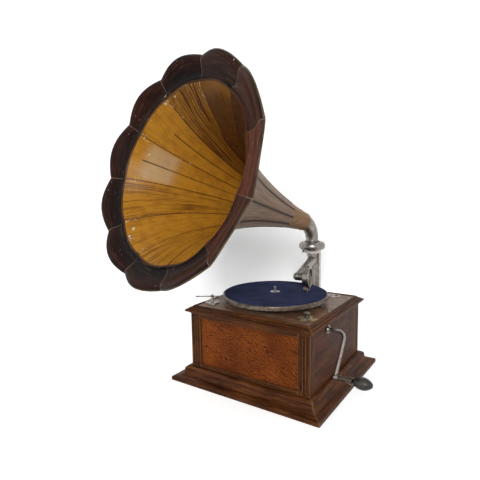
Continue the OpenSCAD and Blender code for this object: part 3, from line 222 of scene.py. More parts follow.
@dataclass(frozen=True)
class StainedOak(Finish):
    """Oak, stained brown under shellac and rubbed by a century of hands.

    The stain sinks into the pores as dark dashes, the coves of the mouldings and the corners
    are darkened by grime and painted shade, and the arrises are worn to the paler wood.
    """

    along: Along = Along.X
    dark: str = "#2b170a"
    middle: str = "#552f16"
    light: str = "#774824"
    worn: str = "#8a6443"
    grain_mm: float = 7.0
    # Oak's pores are 0.3 mm wide, and are drawn this wide so that they show
    pore_mm: float = 1.7
    patch_mm: float = 95.0
    # Reach of the darkening near other surfaces: painted shade, with grime
    painted_shade_mm: float = 10.0
    arris_mm: float = 3.2
    rub_mm: float = 16.0
    roughness: float = 0.42
    # Dry, pored old shellac gives back less of the room than a fresh film
    sheen: float = 0.1
    wear: float = 0.38

    def surface(self, tree: Tree) -> Node:
        """Draws grain, pores, grime with painted shade, and worn arrises.

        Args:
            tree: the material's empty tree.

        Returns:
            The shader.
        """
        place = add(tree, "TexCoord").outputs["Object"]
        run = add(tree, "Mapping", {"Scale": self.along.value}, place)
        lines = add(tree, "TexNoise", {"Scale": per_metre(self.grain_mm), "Detail": 6.0, "Roughness": 0.66,
                                       "Distortion": 0.7}, run)
        stain = add(tree, "ValToRGB", {"stops": [(0.34, self.dark), (0.5, self.middle), (0.68, self.light)]},
                    lines)
        pores = add(tree, "TexNoise", {"Scale": per_metre(self.pore_mm), "Detail": 2.0}, run)
        grained = tint(tree, stain, pores, [(0.54, "#ffffff"), (0.66, "#7d746c")], 0.8)
        clouds = add(tree, "TexNoise", {"Scale": per_metre(self.patch_mm), "Detail": 3.0}, place)
        toned = tint(tree, grained, clouds, [(0.36, "#b5aaa2"), (0.62, "#ffffff")], 0.75)
        # Darker in coves and corners, near other surfaces: painted shade, with grime
        hollow = add(tree, "AmbientOcclusion", {"samples": 6, "Distance": self.painted_shade_mm * MM})
        soiled_and_shaded = tint(tree, toned, hollow.outputs["AO"], [(0.3, "#7c7168"), (0.75, "#ffffff")], 0.85)
        inward = add(tree, "AmbientOcclusion", {"samples": 6, "inside": True, "Distance": self.arris_mm * MM})
        arris = add(tree, "MapRange", {"From Min": 0.9, "From Max": 0.45}, inward.outputs["AO"])
        rubs = add(tree, "TexNoise", {"Scale": per_metre(self.rub_mm), "Detail": 5.0, "Roughness": 0.7}, place)
        both = add(tree, "Math", {"operation": "MULTIPLY"}, {0: arris, 1: rubs})
        colour = lay(tree, soiled_and_shaded, self.worn, both, 0.12, 0.3, self.wear)
        gloss = add(tree, "MapRange", {"To Min": self.roughness - 0.1, "To Max": self.roughness + 0.2}, clouds)
        return coat(tree, {"IOR": 1.5, "Specular IOR Level": self.sheen}, colour, gloss,
                    (pores, 0.25, 0.5), sunk=True)


@dataclass(frozen=True)
class FiguredPanel(Finish):
    """Crown-cut oak panel with a red spirit stain and a figure of dark wandering lines."""

    line: str = "#3c1a05"
    ground: str = "#713712"
    light: str = "#8b4a1a"
    wander_mm: float = 52.0
    figure_mm: float = 4.6
    break_mm: float = 11.0
    streak_mm: float = 3.0
    patch_mm: float = 80.0
    # Reach of the painted shade near the frame round the panel
    painted_shade_mm: float = 18.0
    lean: float = -38.0
    roughness: float = 0.42
    sheen: float = 0.08

    def surface(self, tree: Tree) -> Node:
        """Draws the wandering figure over a streaked ground, with painted shade near its frame.

        Args:
            tree: the material's empty tree.

        Returns:
            The shader.
        """
        place = add(tree, "TexCoord").outputs["Object"]
        wander = add(tree, "TexNoise", {"Scale": per_metre(self.wander_mm), "Detail": 4.0, "Roughness": 0.6},
                     place)
        swing = add(tree, "VectorMath", {"operation": "MULTIPLY_ADD", 1: (0.07, 0.0, 0.05)},
                    {0: wander.outputs["Color"], 2: place})
        tilt = add(tree, "Mapping", {"Rotation": (0.0, math.radians(self.lean), 0.0),
                                     "Scale": (0.55, 1.0, 1.0)}, swing)
        wave = add(tree, "TexWave", {"bands_direction": "Z", "Scale": bands(self.figure_mm), "Distortion": 3.4,
                                     "Detail": 4.0, "Detail Scale": 3.0, "Detail Roughness": 0.75}, tilt)
        breaks = add(tree, "TexNoise", {"Scale": per_metre(self.break_mm), "Detail": 3.0, "Roughness": 0.7},
                     tilt)
        broken = add(tree, "Math", {"operation": "MULTIPLY_ADD", 1: 1.1}, {0: breaks, 2: wave.outputs["Fac"]})
        figure = add(tree, "ValToRGB", {"stops": [
            (0.42, self.line), (0.74, self.ground), (0.9, self.ground), (1.0, self.light)]}, broken)
        streaks = add(tree, "TexNoise", {"Scale": per_metre(self.streak_mm), "Detail": 4.0, "Roughness": 0.7},
                      tilt)
        drawn = tint(tree, figure, streaks, [(0.35, "#c2b4aa"), (0.6, "#ffffff")], 0.8)
        clouds = add(tree, "TexNoise", {"Scale": per_metre(self.patch_mm), "Detail": 3.0}, place)
        toned = tint(tree, drawn, clouds, [(0.32, "#a89a90"), (0.62, "#ffffff")], 0.8)
        # Darker near the posts, rails and moulding round the panel: painted shade
        edge = add(tree, "AmbientOcclusion", {"samples": 6, "Distance": self.painted_shade_mm * MM})
        colour = tint(tree, toned, edge.outputs["AO"], [(0.4, "#70584a"), (0.9, "#ffffff")], 0.9)
        return coat(tree, {"IOR": 1.5, "Roughness": self.roughness, "Specular IOR Level": self.sheen},
                    colour, relief=(streaks, 0.2, 0.4))


@dataclass(frozen=True)
class NickelPlate(Finish):
    """Nickel plate on brass or iron, polished once and now clouded, with dark tarnish in the corners."""

    bright: str = "#96908a"
    dull: str = "#736d67"
    tarnish: str = "#554b43"
    cloud_mm: float = 11.0
    corner_mm: float = 7.0
    dent_mm: float = 6.0
    smooth: float = 0.26
    rough: float = 0.42

    def surface(self, tree: Tree) -> Node:
        """Draws clouded metal with tarnish where it is close to other metal.

        Args:
            tree: the material's empty tree.

        Returns:
            The shader.
        """
        place = add(tree, "TexCoord").outputs["Object"]
        clouds = add(tree, "TexNoise", {"Scale": per_metre(self.cloud_mm), "Detail": 7.0, "Roughness": 0.68,
                                        "Distortion": 0.5}, place)
        tone = add(tree, "ValToRGB", {"stops": [(0.36, self.dull), (0.6, self.bright)]}, clouds)
        corner = add(tree, "AmbientOcclusion", {"samples": 6, "Distance": self.corner_mm * MM})
        colour = lay(tree, tone, self.tarnish, corner.outputs["AO"], 0.85, 0.35, 0.9)
        gloss = add(tree, "MapRange",
                    {"From Min": 0.3, "From Max": 0.66, "To Min": self.rough, "To Max": self.smooth}, clouds)
        dents = add(tree, "TexNoise", {"Scale": per_metre(self.dent_mm), "Detail": 3.0}, place)
        return coat(tree, {"Metallic": 1.0}, colour, gloss, (dents, 0.18, 0.35))


@dataclass(frozen=True)
class TurnedMetal(Finish):
    """Bare metal as it came from the lathe or the wheel cutter: fine rings that spread the highlight."""

    light: str = "#9a989a"
    dark: str = "#6c6a6b"
    # Tool rings are 0.1 mm apart, and are drawn this far apart so that they show
    ring_mm: float = 1.2
    stain_mm: float = 12.0
    roughness: float = 0.35

    def surface(self, tree: Tree) -> Node:
        """Draws tool rings and a little staining.

        Args:
            tree: the material's empty tree.

        Returns:
            The shader.
        """
        place = add(tree, "TexCoord").outputs["Object"]
        rings = add(tree, "TexWave", {
            "bands_direction": "Z", "Scale": bands(self.ring_mm), "Distortion": 1.5}, place)
        stains = add(tree, "TexNoise", {"Scale": per_metre(self.stain_mm), "Detail": 5.0}, place)
        colour = add(tree, "ValToRGB", {"stops": [(0.35, self.dark), (0.62, self.light)]}, stains)
        return coat(tree, {"Metallic": 1.0, "Roughness": self.roughness}, colour,
                    relief=(rings.outputs["Fac"], 0.12, 0.1))


@dataclass(frozen=True)
class JapannedIron(Finish):
    """Cast iron under stoved black japan: a deep gloss over the casting's orange-peel skin."""

    black: str = "#191615"
    dust: str = "#3a332e"
    peel_mm: float = 3.5

    def surface(self, tree: Tree) -> Node:
        """Draws the black coat with dust on it.

        Args:
            tree: the material's empty tree.

        Returns:
            The shader.
        """
        place = add(tree, "TexCoord").outputs["Object"]
        skin = add(tree, "TexNoise", {"Scale": per_metre(self.peel_mm), "Detail": 3.0}, place)
        colour = add(tree, "ValToRGB", {"stops": [(0.45, self.black), (0.8, self.dust)]}, skin)
        return coat(tree, {"IOR": 1.5, "Roughness": 0.3}, colour, relief=(skin, 0.3, 0.3))


@dataclass(frozen=True)
class WoolFelt(Finish):
    """Pressed wool felt, dyed navy: no gloss, a pale bloom at a grazing angle, and lint on it."""

    deep: str = "#1f2440"
    nap: str = "#343c62"
    # Fibres are 0.02 mm thick, and are drawn as tufts this wide so that they show
    tuft_mm: float = 2.6
    worn_mm: float = 45.0

    def surface(self, tree: Tree) -> Node:
        """Draws the nap and its shading.

        Args:
            tree: the material's empty tree.

        Returns:
            The shader.
        """
        place = add(tree, "TexCoord").outputs["Object"]
        tufts = add(tree, "TexNoise", {"Scale": per_metre(self.tuft_mm), "Detail": 5.0, "Roughness": 0.75},
                    place)
        worn = add(tree, "TexNoise", {"Scale": per_metre(self.worn_mm), "Detail": 3.0}, place)
        both = add(tree, "Math", {"operation": "MULTIPLY_ADD", 1: 0.6}, {0: worn, 2: tufts})
        colour = add(tree, "ValToRGB", {"stops": [(0.62, self.deep), (0.98, self.nap)]}, both)
        return coat(tree, {"Roughness": 0.95, "IOR": 1.45, "Specular IOR Level": 0.0, "Sheen Weight": 0.03,
                           "Sheen Roughness": 0.6}, colour, relief=(tufts, 0.5, 0.5))


@dataclass(frozen=True)
class Ebonite(Finish):
    """Turned hard rubber, near black and dulled by hands: its gloss is left only in patches."""

    body: str = "#1d1a19"
    faded: str = "#3e3936"
    hand_mm: float = 14.0

    def surface(self, tree: Tree) -> Node:
        """Draws faded and polished patches.

        Args:
            tree: the material's empty tree.

        Returns:
            The shader.
        """
        place = add(tree, "TexCoord").outputs["Object"]
        hands = add(tree, "TexNoise", {"Scale": per_metre(self.hand_mm), "Detail": 5.0}, place)
        colour = add(tree, "ValToRGB", {"stops": [(0.38, self.body), (0.68, self.faded)]}, hands)
        gloss = add(tree, "MapRange", {"To Min": 0.25, "To Max": 0.55}, hands)
        return coat(tree, {"IOR": 1.55, "Specular IOR Level": 0.3}, colour, gloss)


@dataclass(frozen=True)
class SplitMica(Finish):
    """Split mica sheet: a smoky sheen with faint curved cleavage lines."""

    smoke: str = "#8c8268"
    clear: str = "#b5aa8c"
    cleave_mm: float = 9.0

    def surface(self, tree: Tree) -> Node:
        """Draws the cleavage lines.

        Args:
            tree: the material's empty tree.

        Returns:
            The shader.
        """
        place = add(tree, "TexCoord").outputs["Object"]
        sheets = add(tree, "TexWave", {"Scale": bands(self.cleave_mm), "Distortion": 6.0, "Detail": 2.0}, place)
        colour = add(tree, "ValToRGB", {"stops": [(0.2, self.smoke), (0.8, self.clear)]}, sheets.outputs["Fac"])
        return coat(tree, {"IOR": 1.58, "Roughness": 0.15}, colour)


@dataclass(frozen=True)
class GrainedOchre(Finish):
    """Sheet steel painted ochre, brushed with faux grain and varnished: the inside of the horn.

    The varnish gives a clear broad highlight and has chipped to the pale primer; one petal carries a
    painted reflection of a window. The mesh carries how strong the grain is, and each place's painted shade and
    painted reflection.
    """

    ochre: str = "#ad7723"
    deep: str = "#9b671f"
    grain: str = "#4f270c"
    # Colour of the painted shade, on the upper right petals and deep towards the neck
    shade: str = "#381c17"
    # Colour of the painted reflection of a window on one petal
    milk: str = "#bfb093"
    primer: str = "#d9cfc0"
    fold: str = "#33190b"
    cloud_mm: float = 26.0
    wander_mm: float = 90.0
    # A graining brush leaves strokes 1 mm wide, and they are drawn this wide so that they show
    stroke_mm: float = 4.4
    flake_mm: float = 9.0
    stretch: float = 0.03
    sheen: float = 0.06

    def surface(self, tree: Tree) -> Node:
        """Draws ground, brushed grain, painted shade, a painted reflection, seams and chips.

        Args:
            tree: the material's empty tree.

        Returns:
            The shader.
        """
        across, grain, shade, milk, off_seam, off_crease, chips = (
            add(tree, "Attribute", {"attribute_name": name}).outputs["Fac"]
            for name in ("fan", "grain", "shade", "milk", "seam_mm", "crease_mm", "chips"))
        flat = add(tree, "UVMap", {"uv_map": "sheet"})
        along = add(tree, "SeparateXYZ", links=flat).outputs["Y"]
        fan = add(tree, "CombineXYZ", links={"X": across, "Y": along})
        run = add(tree, "Mapping", {"Scale": (1.0, self.stretch, 1.0)}, fan)
        clouds = add(tree, "TexNoise", {"Scale": per_metre(self.cloud_mm), "Detail": 4.0}, flat)
        ground = add(tree, "ValToRGB", {"stops": [(0.3, self.deep), (0.55, self.ochre)]}, clouds)
        wander = add(tree, "TexNoise", {"Scale": per_metre(self.wander_mm), "Detail": 2.0}, flat)
        swing = add(tree, "VectorMath", {"operation": "MULTIPLY_ADD", 1: (0.014, 0.0, 0.0)},
                    {0: wander.outputs["Color"], 2: run})
        strokes = add(tree, "TexNoise", {"Scale": per_metre(self.stroke_mm), "Detail": 4.0, "Roughness": 0.6},
                      swing)
        loaded = add(tree, "Math", {"operation": "MULTIPLY_ADD", 1: 0.06}, {0: grain, 2: strokes})
        brushed = add(tree, "MapRange", {"From Min": 0.545, "From Max": 0.6, "To Max": 0.95}, loaded)
        mask = add(tree, "Math", {"operation": "MULTIPLY"}, {0: brushed, 1: grain})
        colour = ground
        # Grain, then painted shade and a painted reflection, are laid over the ground
        for laid, where in ((self.grain, mask), (self.shade, shade), (self.milk, milk)):
            colour = add(tree, "MixRGB", {"Color2": laid}, {"Fac": where, "Color1": colour})
        off_line = add(tree, "Math", {"operation": "MINIMUM"}, {0: off_seam, 1: off_crease})
        wobble = add(tree, "Math", {"operation": "MULTIPLY_ADD", 1: 1.6}, {0: strokes, 2: off_line})
        seamed = lay(tree, colour, self.fold, wobble, 2.3, 1.3, 0.9)
        flakes = add(tree, "TexNoise", {"Scale": per_metre(self.flake_mm), "Detail": 6.0, "Roughness": 0.8},
                     flat)
        loose = add(tree, "Math", {"operation": "MULTIPLY_ADD", 1: 0.12}, {0: chips, 2: flakes})
        chipped = lay(tree, seamed, self.primer, loose, 0.675, 0.695)
        gloss = add(tree, "MapRange", {"To Min": 0.2, "To Max": 0.36}, clouds)
        return coat(tree, {"IOR": 1.52, "Specular IOR Level": self.sheen}, chipped, gloss, (strokes, 0.15, 0.4))


@dataclass(frozen=True)
class WeatheredPaint(Finish):
    """Grained paint on the back of the horn, greyed by dust and daylight, in streaks along the sheet."""

    light: str = "#a2866f"
    dark: str = "#735946"
    streak_mm: float = 4.5
    stretch: float = 0.05
    roughness: float = 0.5
    sheen: float = 0.18

    def surface(self, tree: Tree) -> Node:
        """Draws streaks along the sheet and grime beside its seams.

        Args:
            tree: the material's empty tree.

        Returns:
            The shader.
        """
        flat = add(tree, "UVMap", {"uv_map": "sheet"})
        run = add(tree, "Mapping", {"Scale": (1.0, self.stretch, 1.0)}, flat)
        streaks = add(tree, "TexNoise", {"Scale": per_metre(self.streak_mm), "Detail": 6.0, "Roughness": 0.65,
                                         "Distortion": 0.5}, run)
        paint = add(tree, "ValToRGB", {"stops": [(0.33, self.dark), (0.62, self.light)]}, streaks)
        off_seam = add(tree, "Attribute", {"attribute_name": "seam_mm"}).outputs["Fac"]
        colour = lay(tree, paint, self.dark, off_seam, 9.0, 2.0, 0.55)
        return coat(tree, {"IOR": 1.5, "Roughness": self.roughness, "Specular IOR Level": self.sheen},
                    colour, relief=(streaks, 0.15, 0.4))


@dataclass(frozen=True)
class RimVarnish(Finish):
    """Drawn steel moulding, grained in dark red-brown: worn on its bead and along its outer edge.

    The mesh carries the place across the moulding, from the petals to the outer edge, and how far
    each length is painted lighter and redder, as if lit: painted light.
    """

    worn_mm: float = 5.0
    flake_mm: float = 7.0
    stretch: float = 0.09
    solder: str = "#a39480"
    primer: str = "#d4ccc0"
    rub: str = "#6e4a36"
    sheen: float = 0.06
    # Colours across the moulding: near black in the trough and behind the bead, as painted shade, with
    # pale worn lines on the bead and the outer edge; and the lighter, redder colours of lengths painted as lit
    shaded_profile: Stops = (
        (0.0, "#1d0e08"), (0.045, "#6b4a2f"), (0.09, "#2c150c"), (0.14, "#060302"), (0.4, "#0c0504"),
        (0.58, "#200f0a"), (0.76, "#341a13"), (0.9, "#180c08"), (0.95, "#5d5340"), (1.0, "#7a705c"))
    lit_profile: Stops = ((0.0, "#54362a"), (0.045, "#94745a"), (0.1, "#4f2c1d"), (0.3, "#653726"), (0.7, "#704231"),
                   (0.9, "#4a2c21"), (1.0, "#7a6450"))

    def surface(self, tree: Tree) -> Node:
        """Draws the moulding's painted shade and painted light, wear, soldered joints and chips.

        Args:
            tree: the material's empty tree.

        Returns:
            The shader.
        """
        reach, shade, off_seam, chips = (add(tree, "Attribute", {"attribute_name": name}).outputs["Fac"]
                                         for name in ("reach", "shade", "seam_mm", "chips"))
        flat = add(tree, "UVMap", {"uv_map": "sheet"})
        shaded_profile, lit_profile = (add(tree, "ValToRGB", {"stops": stops}, reach) for stops in (self.shaded_profile, self.lit_profile))
        # Lengths painted as lit take the lighter, redder colours: painted light
        ground = add(tree, "MixRGB", links={"Fac": shade, "Color1": shaded_profile, "Color2": lit_profile})
        along = add(tree, "Mapping", {"Scale": (self.stretch, 1.0, 1.0)}, flat)
        wear = add(tree, "TexNoise", {"Scale": per_metre(self.worn_mm), "Detail": 7.0, "Roughness": 0.72,
                                      "Distortion": 0.6}, along)
        mottled = tint(tree, ground, wear, [(0.36, "#6a5f58"), (0.58, "#ffffff")], 0.9)
        rubbed_and_lit = lay(tree, mottled, self.rub, wear, 0.57, 0.7, 0.45)
        drawn = add(tree, "Math", {"operation": "MULTIPLY_ADD", 1: 2.6}, {0: wear, 2: off_seam})
        bead = add(tree, "MapRange", {"From Min": 2.1, "From Max": 1.4, "To Max": 0.8}, drawn)
        joint = add(tree, "Math", {"operation": "MULTIPLY"}, {0: bead, 1: reach})
        soldered = add(tree, "MixRGB", {"Color2": self.solder}, {"Fac": joint, "Color1": rubbed_and_lit})
        flakes = add(tree, "TexNoise", {"Scale": per_metre(self.flake_mm), "Detail": 6.0, "Roughness": 0.8},
                     flat)
        loose = add(tree, "Math", {"operation": "MULTIPLY_ADD", 1: 0.1}, {0: chips, 2: flakes})
        colour = lay(tree, soldered, self.primer, loose, 0.7, 0.725)
        gloss = add(tree, "MapRange", {"To Min": 0.2, "To Max": 0.5}, wear)
        return coat(tree, {"IOR": 1.52, "Specular IOR Level": self.sheen}, colour, gloss, (wear, 0.25, 0.6))


@dataclass(frozen=True)
class StudioPaper(Finish):
    """Matt white studio paper. It is seen lit to white, with the object's shadow on it.

    The mesh carries how upright the paper stands: upright it takes more of the key light, and
    needs less glow. From behind it is clear, so that it never hides the object.
    """

    # Share of the light that plain paper gives back
    paper: float = 0.6
    # What the seen paper gives back, and how much it glows, where it lies flat and where it is upright
    seen: tuple[float, float] = (0.8, 1.0)
    glow: tuple[float, float] = (0.53, 0.1)

    def surface(self, tree: Tree) -> Node:
        """Draws plain paper for light, and paper lit to white for what is seen.

        Args:
            tree: the material's empty tree.

        Returns:
            The shader.
        """
        plain = add(tree, "BsdfDiffuse", {"Color": (self.paper,) * 3 + (1.0,)})
        upright = add(tree, "Attribute", {"attribute_name": "upright"}).outputs["Fac"]
        seen, glow = (add(tree, "MapRange", {"To Min": low, "To Max": high}, upright)
                      for low, high in (self.seen, self.glow))
        matt = add(tree, "BsdfDiffuse", links={"Color": seen})
        lit = add(tree, "Emission", links={"Strength": glow})
        white = add(tree, "AddShader", links={0: matt, 1: lit})
        front = add(tree, "MixShader", links={"Fac": seen_rays(tree), 1: plain, 2: white})
        behind = add(tree, "NewGeometry").outputs["Backfacing"]
        return add(tree, "MixShader", links={"Fac": behind, 1: front, 2: add(tree, "BsdfTransparent")})


def seen_rays(tree: Tree) -> Node:
    """Gives 1 for the rays that show a background: camera, mirror and glass rays.

    Args:
        tree: tree of the floor's material or of the world.

    Returns:
        The node that gives 1 for those rays.
    """
    path = add(tree, "LightPath").outputs
    first = add(tree, "Math", {"operation": "MAXIMUM"}, {0: path["Is Camera Ray"], 1: path["Is Glossy Ray"]})
    return add(tree, "Math", {"operation": "MAXIMUM"}, {0: first, 1: path["Is Transmission Ray"]})


OAK_X = StainedOak("stained_oak_across", Along.X)
OAK_Y = StainedOak("stained_oak_front_to_back", Along.Y)
OAK_POST = StainedOak("stained_oak_posts", Along.Z, dark="#1a0b05", middle="#482610", light="#714425",
                      wear=0.45)
# Far lighter than the other oak, to stand in for the glare on the board's top: painted reflection
OAK_BOARD = StainedOak("stained_oak_board_painted_glare", Along.X, dark="#553a28", middle="#8b654a", light="#b49173",
                       sheen=0.4, wear=0.3)
OAK_PANEL = StainedOak("stained_oak_panel", Along.Y, dark="#3f2316", middle="#54301d", light="#684029",
                       grain_mm=11.0, sheen=0.06, wear=0.2)
OAK_SECOND = StainedOak("plain_oak_inside", Along.X, dark="#5a4028", middle="#7a5a3c", light="#94714e",
                        wear=0.1)
FIGURED = FiguredPanel("figured_oak_panel")
NICKEL = NickelPlate("worn_nickel_plate")
NICKEL_CAST = NickelPlate("plated_casting", bright="#c9c2bb", dull="#a8a19a", tarnish="#80776f",
                          smooth=0.45, rough=0.6)
NICKEL_THIN = NickelPlate("nickel_worn_to_brass", bright="#c9b496", dull="#a8926f", tarnish="#6e5c45",
                          smooth=0.4, rough=0.6)
NICKEL_BLACK = NickelPlate("blackened_nickel_plate", bright="#63574d", dull="#342b25", smooth=0.3, rough=0.5)
NICKEL_DULL = NickelPlate("dull_nickel_plate", bright="#756a5f", dull="#453c34", smooth=0.32, rough=0.55)
STEEL = TurnedMetal("turned_steel")
BRASS = TurnedMetal("cut_brass", light="#b59457", dark="#8a6d3a", roughness=0.3)
IRON = JapannedIron("japanned_iron")
FELT = WoolFelt("navy_wool_felt")
EBONITE = Ebonite("turned_ebonite")
MICA = SplitMica("split_mica")
OCHRE = GrainedOchre("grained_ochre_varnish")
HORN_BACK = WeatheredPaint("weathered_horn_paint")
NECK = WeatheredPaint("grained_neck_varnish", light="#9b7650", dark="#6f5236", streak_mm=5.0,
                      roughness=0.4, sheen=0.12)
SEAM = WeatheredPaint("folded_seam_paint", light="#3a2b21", dark="#1f150f")
RIM = RimVarnish("grained_rim_varnish")
PAPER = StudioPaper("white_studio_paper")


def dress(finish: Finish, *names: str) -> None:
    """Gives CAD nodes a finish through their material slots.

    Args:
        finish: finish of the nodes.
        names: names of the nodes.
    """
    for name in names:
        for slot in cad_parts[name].material_slots:
            slot.material = finish.material()
        log.info("dressed %s with %s", name, finish.name)


@dataclass
class Sheet:
    """Points and faces of one mesh in the making, with values that its materials read."""

    points: list[Point]
    faces: list[tuple[int, ...]]
    slots: list[int]
    flat: list[tuple[float, float]]
    values: dict[str, list[float]]

    @classmethod
    def empty(cls, *names: str) -> "Sheet":
        """Starts a mesh whose points carry the named values."""
        return cls([], [], [], [], {name: [] for name in names})

    def point(self, place: Point, flat: tuple[float, float], **values: float) -> int:
        """Adds a point.

        Args:
            place: the point in its own frame, in millimetres.
            flat: its place on the unrolled sheet, in millimetres.
            values: its values by name.

        Returns:
            The point's number.
        """
        self.points.append(place)
        self.flat.append(flat)
        for name, kept in self.values.items():
            kept.append(values.get(name, 0.0))
        return len(self.points) - 1

    def grid(self, ids: Sequence[Sequence[int]], slot: int = 0, flip: bool = False,
             loop: bool = False) -> None:
        """Joins rows of points with quads.

        Args:
            ids: numbers of the points, row by row.
            slot: material slot of the faces.
            flip: turns the faces the other way round.
            loop: joins the end of each row to its start.
        """
        for near, far in zip(ids, ids[1:]):
            for j in range(len(near) if loop else len(near) - 1):
                k = (j + 1) % len(near)
                face = (near[j], near[k], far[k], far[j])
                self.faces.append(face[::-1] if flip else face)
                self.slots.append(slot)

    def piece(self, name: str, body: str, slot: str, finishes: Sequence[Finish], place: Matrix,
              stands_for: str, sharp: float = 40.0) -> None:
        """Makes the object, puts it in the frame and hides the CAD node that it replaces.

        Args:
            name: name of the piece.
            body: CAD body that it rides on.
            slot: the record's material slot; not used.
            finishes: finishes of its material slots.
            place: from its own frame in millimetres to the row frame in metres.
            stands_for: CAD node that it replaces.
            sharp: angle in degrees above which an edge stays sharp.
        """
        mesh = bpy.data.meshes.new(name)
        mesh.from_pydata([tuple(place @ Vector(p)) for p in self.points], [], self.faces)
        sheet = mesh.uv_layers.new(name="sheet")
        for loop in mesh.loops:
            u, v = self.flat[loop.vertex_index]
            sheet.data[loop.index].uv = (u * MM, v * MM)
        for key, kept in self.values.items():
            mesh.attributes.new(key, "FLOAT", "POINT").data.foreach_set("value", kept)
        for finish in finishes:
            mesh.materials.append(finish.material())
        mesh.polygons.foreach_set("material_index", self.slots)
        mesh.polygons.foreach_set("use_smooth", [True] * len(mesh.polygons))
        mesh.validate()
        mesh.set_sharp_from_angle(angle=math.radians(sharp))
        made = bpy.data.objects.new(name, mesh)
        bpy.context.scene.collection.objects.link(made)
        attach(made, body)
        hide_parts(stands_for)
        log.info("built %s with %d faces on %s", name, len(mesh.polygons), body)


def turns(sides: int) -> list[float]:
    """Gives the angles of a ring's points in radians."""
    return [2 * math.pi * k / sides for k in range(sides)]


def climb(value: float, start: float, slope: float) -> float:
    """Goes from 0 at start up to 1 with a slope; a negative slope climbs the other way."""
    return min(1.0, max(0.0, (value - start) * slope))


@dataclass
class Case:
    """Oak case: plinth, framed front panel, side and back panels, mouldings and motor board."""

    def dress(self) -> None:
        """Gives each board the oak with its own direction of grain."""
        dress(OAK_X, "plinth_front", "plinth_back", "front_rails", "top_moulding_front",
              "top_moulding_back", "back_panel")
        dress(OAK_Y, "plinth_left", "plinth_right", "top_moulding_left", "top_moulding_right")
        dress(OAK_POST, "corner_posts")
        dress(OAK_PANEL, "left_panel", "right_panel")
        dress(OAK_BOARD, "motor_board")
        dress(OAK_SECOND, "bottom_board")
        dress(FIGURED, "front_panel")
        dress(STEEL, "case_screws")


@dataclass
class Motor:
    """Clockwork motor under the board."""

    def dress(self) -> None:
        """Gives iron plates, brass wheels and steel arbors their finishes."""
        dress(IRON, "motor_bedplate", "motor_lower_plate", "speed_arm_bracket")
        dress(STEEL, "motor_pillars", "spindle", "middle_arbor", "spring_barrel", "mainspring", "barrel_arbor",
              "winding_shaft", "ratchet_pawl", "governor_shaft", "speed_arm")
        dress(BRASS, "governor_wheel", "middle_wheel", "contrate_wheel", "governor_weights", "governor_disc")


@dataclass
class Turntable:
    """Pressed turntable with its felt disc."""

    # The spindle stands this far in front of the row frame's middle
    spindle_fwd: float = 12.0
    felt_r: float = 127.0
    felt_t: float = 1.6
    hole_r: float = 9.0
    # Width and depth of the felt's rounded edges: at the hole, and the two steps at the outside
    hole_edge: tuple[float, float] = (0.4, 0.2)
    outer_edge: tuple[tuple[float, float], ...] = ((0.15, 0.25), (0.0, 0.7))
    # Width of both of those edges together
    edges: float = 0.9
    # Height of each of the two slow waves in the felt
    wave: float = 0.12
    rings: int = 44
    sides: int = 144

    def build(self) -> None:
        """Lays the felt and dresses the metal under it."""
        dress(NICKEL_DULL, "turntable_platter")
        width, depth = self.hole_edge
        face = [self.hole_r + width + (self.felt_r - self.edges - self.hole_r) * i / self.rings
                for i in range(self.rings + 1)]
        profile = [(self.hole_r, -self.felt_t), (self.hole_r, -depth), *((r, 0.0) for r in face),
                   *((self.felt_r - inward, -down) for inward, down in self.outer_edge),
                   (self.felt_r, -self.felt_t)]
        felt = Sheet.empty()
        rows = []
        for r, z in profile:
            row = []
            for a in turns(self.sides):
                x, y = r * math.cos(a), r * math.sin(a)
                dip = self.wave * (math.sin(3 * a + r / 31) + math.sin(5 * a - r / 17)) if z == 0.0 else 0.0
                row.append(felt.point((x, y, z - abs(dip)), (x, y)))
            rows.append(row)
        felt.grid(rows + rows[:1], loop=True, flip=True)
        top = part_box("turntable_felt")[1].z / MM
        felt.piece("felt_disc", "turntable", "felt", [FELT],
                   Matrix.Scale(MM, 4) @ Matrix.Translation((0, -self.spindle_fwd, top)), "turntable_felt")


@dataclass
class Controls:
    """Brake, speed control and needle cup on the board."""

    def dress(self) -> None:
        """Gives the small fittings their nickel."""
        dress(NICKEL, "brake_lever", "speed_knob")
        dress(NICKEL_CAST, "brake_plate", "needle_cup")
        dress(NICKEL_THIN, "speed_plate")


@dataclass
class Crank:
    """Crank with its escutcheon, ferrule and grip."""

    def dress(self) -> None:
        """Gives rod, ferrule and grip their finishes."""
        dress(NICKEL, "crank_rod", "crank_escutcheon")
        dress(NICKEL_BLACK, "crank_ferrule")
        dress(EBONITE, "crank_grip")


@dataclass
class Arm:
    """Bracket, collar, tonearm and soundbox."""

    def dress(self) -> None:
        """Gives the castings and the soundbox their nickel."""
        dress(NICKEL_CAST, "back_bracket")
        dress(NICKEL, "thumbscrew", "collar", "tonearm", "soundbox_body", "soundbox_ring", "stylus_bar")
        dress(MICA, "soundbox_diaphragm")
        dress(STEEL, "needle")


